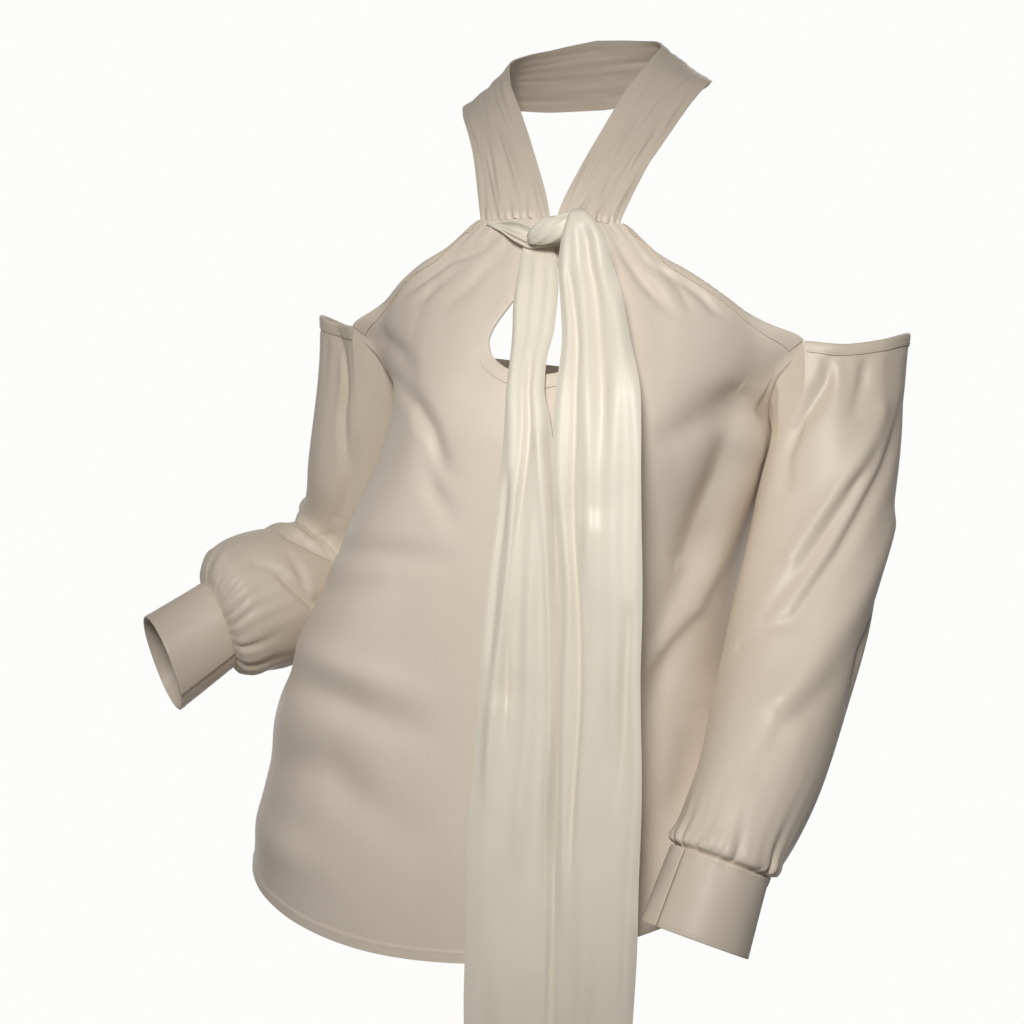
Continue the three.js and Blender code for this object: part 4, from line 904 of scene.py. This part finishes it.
def sleeveSpot(arm, turn, at, out=0.0):
    length, girth = sleeves["length"], sleeveLook["girth"]
    within = np.minimum(at, 1.0)
    fromTop, fromCuff = within * length, (1 - within) * length
    lift = gathers["puff"] * np.exp(-((fromCuff - gathers["puffAt"]) / gathers["puffHalf"]) ** 2)
    for n in range(gatherCount):
        near = (turn + gatherLeans[n] * fromCuff - gatherTurns[n] + 0.5) % 1 - 0.5
        wide = gatherWides[n] * (1 + fromCuff / 26)
        lift -= gatherDeeps[n] * np.exp(-(near / wide) ** 2 - fromCuff / gatherLongs[n])
    lift = lift * ease(fromCuff / 6)
    lift -= sleeveLook["underCuff"] * (1 - ease(fromCuff / 7))
    shift = 0 if arm["side"] > 0 else sleeveLook["rightShift"]
    small = ripple(turn * girth + shift, fromTop, sleeveLook["rippleSize"], 6)
    lift += (sleeveLook["ripple"] * small * ease(within * 12) * ease(turn / 0.04)
             * ease((1 - turn) / 0.04))
    fade = ease(fromTop / 14) * ease(fromCuff / 14)
    for fold in arm["creases"]:
        line = [(turned * girth, along * length) for along, turned in fold["line"]]
        laid = {"line": line, "out": fold["out"], "half": fold["half"]}
        for lap in (-1, 0, 1):
            lift += foldLift([laid], (turn + lap) * girth, fromTop) * fade
    spot = sleevePoint(arm, turn, within, lift + out)
    # Where the sleeve meets the body and its corners, the cloth tucks in under the seam
    nearBody = np.maximum(ease((turn - 0.48) / 0.03), 1 - ease(turn / 0.025))
    spot[..., 0] -= arm["side"] * sleeveLook["sewn"] * ((1 - ease(fromTop / 9)) * nearBody)
    # Past the cuff's seam, the cloth runs on inside the cuff
    beyond = np.maximum(at - 1, 0) * length
    centre = armCentre(arm, np.ones(np.shape(at)))
    along = unit(np.asarray(arm["cuffEnd"], float) - centre)
    inward = unit(centre - spot)
    return spot + (along + inward * 0.12) * beyond[..., None]


def makeSleeve(name, arm, node):
    def spotAt(a, b, out=0.0):
        past = 1 + sleeveLook["tuck"] / sleeves["length"]
        at = np.interp(b, [0, 0.86, 0.975, 1], [0, 0.9, 1, past])
        return sleeveSpot(arm, np.where(a > 0.99999, 0.0, a), at, out)
    return makeCloth(name, node, sleeveLook["grid"], spotAt, (0.3, 0.44), sleeveSatinPaintedShade, closed=True)


leftSleeve = makeSleeve("left_sleeve", leftArm, "sleeve_left")
rightSleeve = makeSleeve("right_sleeve", rightArm, "sleeve_right")
print("sleeves laid")


def armBandSpot(arm):
    def spotAt(s, inward, out):
        return sleeveSpot(arm, mix(0.003, 0.497, s), inward / sleeves["length"], out)
    return spotAt


armBands = []
for arm, name in ((leftArm, "left"), (rightArm, "right")):
    strip = edgeStrip("cold_shoulder_edge_" + name, armBandSpot(arm), 8.0, 110, sleeveSatinPaintedShade,
                      (0.3, 0.02))
    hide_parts("arm_band_" + name)
    armBands.append(strip)

# Cuffs, lapped and double
cuffLook = {"grid": (190, 26), "depth": 52.0, "topRadius": 32.0, "endRadius": 35.0, "lapDeg": 36.0,
            "wall": 1.7, "soft": 0.5, "wave": 0.5, "lapStep": 2.2}


def cuffSpot(arm, t, w, out=0.0):
    one = np.ones(np.shape(t))
    centre, ahead, front, outside = sleeveRing(arm, one)[:4]
    along = unit(np.asarray(arm["cuffEnd"], float) - centre)
    turnAll = 360 + cuffLook["lapDeg"]
    angle = np.radians(arm["lapDeg"] + arm["lapWay"] * turnAll * t)
    lap = cuffLook["lapStep"] * ease((t * turnAll - (360 - 2 * cuffLook["lapDeg"]))
                                     / (2 * cuffLook["lapDeg"]))
    pulled = 0.45 * np.sin(angle * 9 + 3 * np.sin(angle * 2)) * np.exp(-w / 0.16)
    wave = cuffLook["wave"] * ripple(angle * 33, w * cuffLook["depth"] + 90, 60, 3)
    radius = mix(cuffLook["topRadius"], cuffLook["endRadius"], w) * ovalAt(arm, angle, 1.0)
    radius = radius + lap + wave + pulled + out
    return (centre + ahead * cloth["seamGap"] + along * (w * cuffLook["depth"])[..., None]
            + front * (np.cos(angle) * radius)[..., None]
            + outside * (np.sin(angle) * radius)[..., None])


def makeCuff(name, arm, node):
    def spotAt(a, b, out=0.0):
        return cuffSpot(arm, a, b, out)
    return makeCloth(name, node, cuffLook["grid"], spotAt, (0.24, 0.06), sleeveSatinPaintedShade,
                     wall=cuffLook["wall"], soft=cuffLook["soft"])


leftCuff = makeCuff("left_cuff", leftArm, "cuff_left")
rightCuff = makeCuff("right_cuff", rightArm, "cuff_right")
print("cuffs lapped")

# Neck band, pleated lengthwise. Each pleat is its place across, height, half width and wander
neck = {
    "at": [0, 0.1, 0.22, 0.34, 0.46, 0.57, 0.68, 0.79, 0.9, 1],
    "outX": [51.5, 57.5, 67, 80, 92, 98, 92, 72, 40, 0],
    "outY": [-140.5, -130, -113, -90, -66, -44, -18, 3, 12, 11.5],
    "outZ": [-147.6, -127, -97, -67, -42, -27, -20, -20, -22, -24],
    "inX": [2.6, 6.5, 15, 26, 40, 53, 60, 53, 31, 0],
    "inY": [-148.5, -142, -129, -112, -91, -70, -46, -26, -14, -12],
    "inZ": [-145.8, -131, -107, -79, -46, -19, 3, 14, 21, 25],
    "pleat": [1, 1, 0.9, 0.8, 0.7, 0.6, 0.5, 0.4, 0.4, 0.4],
    "pleats": [(0.05, 1.0, 0.05, 0.5), (0.16, 2.4, 0.06, 1.1), (0.27, 1.4, 0.035, 2.0),
               (0.39, 2.8, 0.07, 0.2), (0.52, 1.8, 0.045, 2.9), (0.63, 2.9, 0.06, 1.7),
               (0.76, 1.7, 0.04, 0.9), (0.88, 2.5, 0.055, 2.4), (0.97, 0.9, 0.04, 1.4)],
}
neckLook = {"grid": (220, 54), "halfLong": 290}


def neckSpot(a, w, out=0.0):
    s = 2 * a - 1
    at, side = 1 - np.abs(s), np.where(s < 0, -1.0, 1.0)
    read = {k: readTable(neck, "at", k, at) for k in neck if k not in ("at", "pleats")}
    edgeOut = np.stack([read["outX"], read["outY"], read["outZ"]], axis=-1)
    edgeIn = np.stack([read["inX"], read["inY"], read["inZ"]], axis=-1)
    middle = mix(edgeOut, edgeIn, w[..., None])
    axis = np.stack([0 * w, 0 * w - 60, middle[..., 2] - 30], axis=-1)
    away = unit(middle - axis)
    lift = 3.5 * np.sin(np.pi * w) * (1 - at)
    for place, high, half, shift in neck["pleats"]:
        run = 11 * at * (1 + 0.2 * side) + shift + side
        centre = place + 0.028 * np.sin(run)
        fade = 0.62 + 0.38 * np.sin(run * 1.6 + 2 * shift)
        lift += high * read["pleat"] * fade * np.exp(-((w - centre) / half) ** 2)
    fromSeam = at * neckLook["halfLong"]
    lift += 0.3 * ripple(w * 50, fromSeam + 300 * side, 22, 5)
    pinch = np.exp(-fromSeam / 7)
    lift += 0.7 * pinch * np.sin(w * 62)
    middle = middle + away * (lift + out)[..., None]
    x, z = middle[..., 0], middle[..., 2]
    tilt = body["tilt"] * side * x * ease((-z - 30) / 60)
    sway = 5.5 * w * (1 - ease(at / 0.6))
    sewn = 1 - ease(at / 0.012)
    return np.stack([side * x + sway, middle[..., 1] + 1.3 * sewn, z - tilt - 3.0 * sewn], axis=-1)


neckBand = makeCloth("halter_band", "neck_band", neckLook["grid"], neckSpot, (0.58, 0.056),
                     sleeveSatinPaintedShade)
print("neck band pleated")

# Tails of the sash, by their edges at each height. A fold is its place across at the top, middle
# and end, its height, its half width in mm, and the heights between which it runs
rightTail = {
    "z": [-166, -172, -182, -210, -235, -255, -276, -298, -345, -391, -444, -524, -590, -655, -736],
    "x0": [-13, -14.5, -14.5, -15.2, -13, -11, -10, -9.4, -14, -19, -25, -30, -34.5, -36, -35],
    "x1": [9, 9.5, 14, 17, 17, 15.5, 17, 20, 23, 24, 25.5, 24, 22.5, 22, 21],
    "y": [-158.3, -160.2, -166.5, -178, -189, -199, -208, -213, -217, -218, -218, -218, -218,
          -219, -220],
    "under": [0, 0, 0, 0, 0, 0, 0, 2, 5, 7, 7, 8, 9, 9, 9],
    "folds": [
        {"w": (0.1, 0.28, 0.2), "out": 3.2, "half": 5, "span": (-190, -560)},
        {"w": (0.5, 0.42, 0.3), "out": 2.6, "half": 4, "span": (-166, -470)},
        {"w": (0.62, 0.36, 0.34), "out": -2.6, "half": 2.6, "span": (-250, -520)},
        {"w": (0.88, 0.62, 0.55), "out": 3.4, "half": 6, "span": (-176, -600)},
        {"w": (0.8, 0.88, 0.94), "out": 3.2, "half": 4, "span": (-300, -736)},
        {"w": (0.2, 0.14, 0.1), "out": -1.8, "half": 3, "span": (-330, -480)},
        {"w": (0.3, 0.3, 0.4), "out": 2.2, "half": 11, "span": (-480, -736)},
    ],
}
leftTail = {
    "z": [-147.5, -149.5, -154, -162, -173, -189, -210, -247, -288, -341, -418, -483, -548, -620,
          -691, -750],
    "x0": [27, 26, 25.5, 24, 21.5, 20.5, 23, 27, 25, 26, 29, 30, 28, 27, 25, 24],
    "x1": [33, 35.5, 40, 47, 53.5, 58, 66, 75, 84, 86, 85, 85, 84, 82.5, 77.5, 75],
    "y": [-169, -178, -184, -186, -187, -188, -192, -204, -216, -219, -219, -219, -219, -220,
          -221, -221],
    "under": [0] * 16,
    "folds": [
        {"w": (0.35, 0.42, 0.36), "out": 3.6, "half": 5.5, "span": (-150, -420)},
        {"w": (0.12, 0.1, 0.08), "out": 2.4, "half": 4, "span": (-150, -640)},
        {"w": (0.22, 0.24, 0.2), "out": -2.6, "half": 2.4, "span": (-190, -600)},
        {"w": (0.62, 0.58, 0.56), "out": -2.4, "half": 4, "span": (-160, -330)},
        {"w": (0.82, 0.7, 0.66), "out": 3.8, "half": 7, "span": (-150, -520)},
        {"w": (0.92, 0.94, 0.9), "out": 2.4, "half": 5, "span": (-210, -700)},
        {"w": (0.5, 0.36, 0.34), "out": 2.6, "half": 9, "span": (-360, -750)},
        {"w": (0.86, 0.78, 0.72), "out": -2.2, "half": 3, "span": (-420, -560)},
    ],
}
tailGrid = (54, 220)


def tailSpot(tail, w, b, out=0.0):
    first, last = tail["z"][0], tail["z"][-1]
    z = mix(first, last, b ** 1.15)
    read = {k: readTable(tail, "z", k, z) for k in ("x0", "x1", "y", "under")}
    wide = read["x1"] - read["x0"] + read["under"]
    shift = 0.0 if tail is rightTail else 40.0
    lift = np.zeros(np.shape(w))
    for fold in tail["folds"]:
        start, end = fold["span"]
        t = np.clip((z - start) / (end - start), 0, 1)
        w0, w1, w2 = fold["w"]
        place = np.where(t < 0.5, mix(w0, w1, ease(t * 2)), mix(w1, w2, ease(t * 2 - 1)))
        place = place + 0.025 * np.sin(z / 31 + w0 * 20)
        near = (w - place) * wide / fold["half"]
        inSpan = ease((start - z) / 18 + 0.2) * ease((z - end) / 50 + 0.1)
        lift += fold["out"] * inSpan * np.exp(-near ** 2)
    lift += 0.5 * ripple((w * wide + shift) * 1.2, z * 0.5, 17, 8)
    lift += 0.35 * ripple(z * 0.7, w * wide, 40, 2)
    turnIn = 2.2 * np.abs(2 * w - 1) ** 6
    sway = 0.7 * np.sin(z / 21 + shift) * np.abs(2 * w - 1)
    y = read["y"] - 0.6 - lift * ease((first - z) / 26 + 0.15) + turnIn - out
    y = y + 0.62 * read["under"] * ease((w * wide - wide + read["under"] + 3) / 5)
    return np.stack([read["x0"] + wide * w + sway, y, z], axis=-1)


def makeTail(name, tail, node, cut):
    def spotAt(a, b, out=0.0):
        return tailSpot(tail, a, b, out)
    return makeCloth(name, node, tailGrid, spotAt, cut, sashSatinPaintedHighlight)


rightSash = makeTail("right_tail", rightTail, "sash_tail_right", (0.06, 0.58))
leftSash = makeTail("left_tail", leftTail, "sash_tail_left", (0.07, 0.62))
print("tails hung")

# The knot: a stretch of sash across the throat, and the roll that it passes through
knot = {
    "x": [-46, -33, -18.5, -5, 6, 16],
    "topZ": [-144.8, -147.8, -150.3, -156.4, -160, -163],
    "lowZ": [-147.8, -155, -165.7, -171.7, -171.5, -170.5],
    "y": [-144.9, -150.8, -157.5, -161.2, -163, -163.5],
    "belly": [0.5, 2, 4, 4, 2.5, 1],
}
# Pleats of that stretch: place across it, height and half width in mm
knotPleats = [(0.97, 1.6, 1.5), (0.84, -1.6, 0.8), (0.74, 1.2, 1.0), (0.62, -1.6, 1.0),
              (0.34, -3.2, 3.6), (0.06, 1.3, 1.1)]
roll = {
    "x": [-8, -3, 7.5, 17.5, 28, 34, 38],
    "y": [-167.7, -170.7, -172.7, -173.2, -172.3, -171.2, -169.7],
    "z": [-164.5, -164, -162, -161.5, -159, -157.3, -156.8],
    "high": [2.5, 6, 9, 9.5, 9, 7, 2.5],
    "deep": [1.5, 4, 6, 6.5, 5.5, 4.5, 2],
}


def knotSpot(a, w, out=0.0):
    x = mix(knot["x"][0], knot["x"][-1], a)
    read = {k: readTable(knot, "x", k, x) for k in ("topZ", "lowZ", "y", "belly")}
    bow = np.sin(np.pi * (0.12 + 0.8 * w))
    high = read["lowZ"] - read["topZ"]
    wide = np.abs(high)
    lift = read["belly"] * bow
    for place, pleatOut, half in knotPleats:
        lift += pleatOut * np.exp(-((w - place) * wide / half) ** 2) * ease((x + 44) / 16)
    return np.stack([x, read["y"] - lift - out, read["topZ"] + high * w], axis=-1)


def rollSpot(a, t, out=0.0):
    x = mix(roll["x"][0], roll["x"][-1], a)
    read = {k: readTable(roll, "x", k, x) for k in ("y", "z", "high", "deep")}
    angle = 2 * np.pi * t
    twist = angle + x / 22
    crease = (1 - 0.10 * np.exp(-((np.cos(twist - 0.6) - 0.55) / 0.11) ** 2)
              - 0.13 * np.exp(-((np.sin(twist + 0.5) + 0.35) / 0.09) ** 2)
              + 0.05 * np.sin(3 * twist) - 0.05 * np.sin(7 * twist + x / 5))
    y = read["y"] + np.cos(angle) * (read["deep"] * crease + out)
    z = read["z"] + np.sin(angle) * (read["high"] * crease + out)
    return np.stack([x, y, z], axis=-1)


# The roll is closed at its ends, so it needs no wall
def makeRoll():
    core, a, b = clothGrid("knot_core", 60, 64)
    t = np.where(b > 0.99999, 0.0, b)
    layCloth(core, rollSpot(a, t), rollSpot(a, t, -1.0), (0.05, 0.06), closed=True)
    bpy.ops.object.mode_set(mode="EDIT")
    bpy.ops.mesh.select_all(action="DESELECT")
    bpy.ops.mesh.select_mode(type="EDGE")
    bpy.ops.mesh.select_non_manifold()
    bpy.ops.mesh.edge_face_add()
    bpy.ops.object.mode_set(mode="OBJECT")
    bpy.ops.object.shade_smooth_by_angle(angle=math.radians(60))
    core.data.materials.clear()
    core.data.materials.append(sashSatinPaintedHighlight["material"])
    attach(core, "root")
    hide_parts("knot_roll")
    return core


knotWrap = makeCloth("knot_wrap", "knot_band", (90, 40), knotSpot, (0.068, 0.03), sashSatinPaintedHighlight)
knotCore = makeRoll()
print("knot tied")

# Stitches along the hems, bindings, arm bands and cuffs
stitched = cloth["layer"] + 0.2


def hemLine(spotAt, long):
    def hemSpot(s, inward, out):
        return spotAt(mix(-0.995, 0.995, s), 1 - inward / long, out)
    return hemSpot


frontStitches = stitchRow("front_stitches", [
    seamLines(hemLine(frontSpot, frontLook["long"]), 6.0, 0.0),
    seamLines(frontSlope(1), binding["stitchAt"], stitched),
    seamLines(frontSlope(-1), binding["stitchAt"], stitched),
    seamLines(keyholeSpot, 1.6, stitched, span=(0.14, 0.86)),
    seamLines(keyholeSpot, 7.4, stitched, span=(0.14, 0.86)),
], bodySatin)
backStitches = stitchRow("back_stitches", [
    seamLines(hemLine(backSpot, backLook["long"]), 6.0, 0.0),
    seamLines(backSlope, binding["stitchAt"], stitched),
], bodySatin)


def cuffLine(arm):
    def spotAt(s, inward, out):
        return cuffSpot(arm, s, inward / cuffLook["depth"], out)
    return spotAt


sleeveStitches = []
for arm, name in ((leftArm, "left"), (rightArm, "right")):
    sleeveStitches.append(stitchRow(name + "_sleeve_stitches", [
        seamLines(armBandSpot(arm), 6.4, stitched),
        seamLines(cuffLine(arm), 2.6, 0.0, span=(0.1, 0.995)),
        seamLines(cuffLine(arm), cuffLook["depth"] - 3.0, 0.0, span=(0.1, 0.995)),
    ], sleeveSatinPaintedShade))
print("seams stitched")

# The cut of each cloth, in metres
for piece, flat, area, held, others in (
    (front, (0.56, 0.52), 0.235, "hung", [frontStitches]),
    (back, (0.46, 0.45), 0.195, "hung", [backStitches]),
    (leftSleeve, (0.3, 0.44), 0.108, "gathered", [sleeveStitches[0]]),
    (rightSleeve, (0.3, 0.44), 0.106, "gathered", [sleeveStitches[1]]),
    (neckBand, (0.56, 0.052), None, "gathered", []),
    (leftCuff, (0.236, 0.052), None, "folded", []),
    (rightCuff, (0.236, 0.052), None, "folded", []),
    (rightSash, (0.051, 0.59), None, "hung", []),
    (leftSash, (0.057, 0.62), None, "hung", []),
    (bound[0], (0.15, 0.015), None, "folded", []),
    (bound[1], (0.145, 0.015), None, "folded", []),
    (backStrip, (0.4, 0.0155), None, "folded", []),
    (keyholeStrip, (0.32, 0.023), None, "folded", []),
    (armBands[0], (0.2, 0.0175), None, "folded", []),
    (armBands[1], (0.172, 0.0175), None, "folded", []),
    (knotWrap, (0.065, 0.0165), None, "stretched", [knotCore]),
):
    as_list(others)

# A plain pale floor well below the hanging blouse, and a bright patch of background behind it
studio = {"floorDown": -1.38, "floorSize": 3.6, "fill": 0.07, "backdrop": 0.98,
          "backdropWide": (0.66, 0.86)}
bpy.ops.object.select_all(action="DESELECT")
bpy.ops.mesh.primitive_plane_add(size=studio["floorSize"], location=(0, 0, studio["floorDown"]))
floor = bpy.context.object
floor.name = "floor"
pale = bpy.data.materials.new("pale_floor")
pale.use_nodes = True
pale.node_tree.nodes["Principled BSDF"].inputs["Base Color"].default_value = (0.82, 0.82, 0.82, 1)
pale.node_tree.nodes["Principled BSDF"].inputs["Roughness"].default_value = 0.9
floor.data.materials.append(pale)

# The background is bright only around the direction that the front is seen against, so that it
# doesn't light the front
world = bpy.data.worlds.new("studio")
bpy.context.scene.world = world
world.use_nodes = True
nodes, links = world.node_tree.nodes, world.node_tree.links
way = nodes.new("ShaderNodeTexCoord")
toward = nodes.new("ShaderNodeVectorMath")
toward.operation = "DOT_PRODUCT"
toward.inputs[1].default_value = ahead
links.new(way.outputs["Generated"], toward.inputs[0])
bright = nodes.new("ShaderNodeMapRange")
bright.interpolation_type = "SMOOTHSTEP"
bright.inputs["From Min"].default_value = studio["backdropWide"][0]
bright.inputs["From Max"].default_value = studio["backdropWide"][1]
bright.inputs["To Min"].default_value = studio["fill"]
bright.inputs["To Max"].default_value = studio["backdrop"]
links.new(toward.outputs["Value"], bright.inputs["Value"])
nodes["Background"].inputs["Color"].default_value = (1.0, 0.995, 0.985, 1)
links.new(bright.outputs["Result"], nodes["Background"].inputs["Strength"])

lights = [
    {"name": "key", "place": (0.3, -1.7, 0.3), "aim": (0.06, -0.2, -0.34), "size": 0.25,
     "power": 104, "beamDeg": 41},
    {"name": "side", "place": (-2.4, -1.2, 0.3), "aim": (0, 0, -0.4), "size": 1.6, "power": 5},
    {"name": "rear", "place": (0.6, 2.6, 1.2), "aim": (0, 0, -0.4), "size": 2.0, "power": 22},
]
for lamp in lights:
    isBeam = "beamDeg" in lamp
    bpy.ops.object.light_add(type="SPOT" if isBeam else "AREA", location=lamp["place"])
    light = bpy.context.object
    light.name = lamp["name"]
    if isBeam:
        light.data.spot_size = math.radians(lamp["beamDeg"])
        light.data.spot_blend = 1.0
        light.data.shadow_soft_size = lamp["size"]
    else:
        light.data.shape = "DISK"
        light.data.size = lamp["size"]
    light.data.energy = lamp["power"]
    light.data.color = (1.0, 0.97, 0.92)
    away = Vector(lamp["aim"]) - Vector(lamp["place"])
    light.rotation_euler = away.to_track_quat("-Z", "Y").to_euler()
bpy.context.scene.view_settings.view_transform = "Standard"
print("light set")
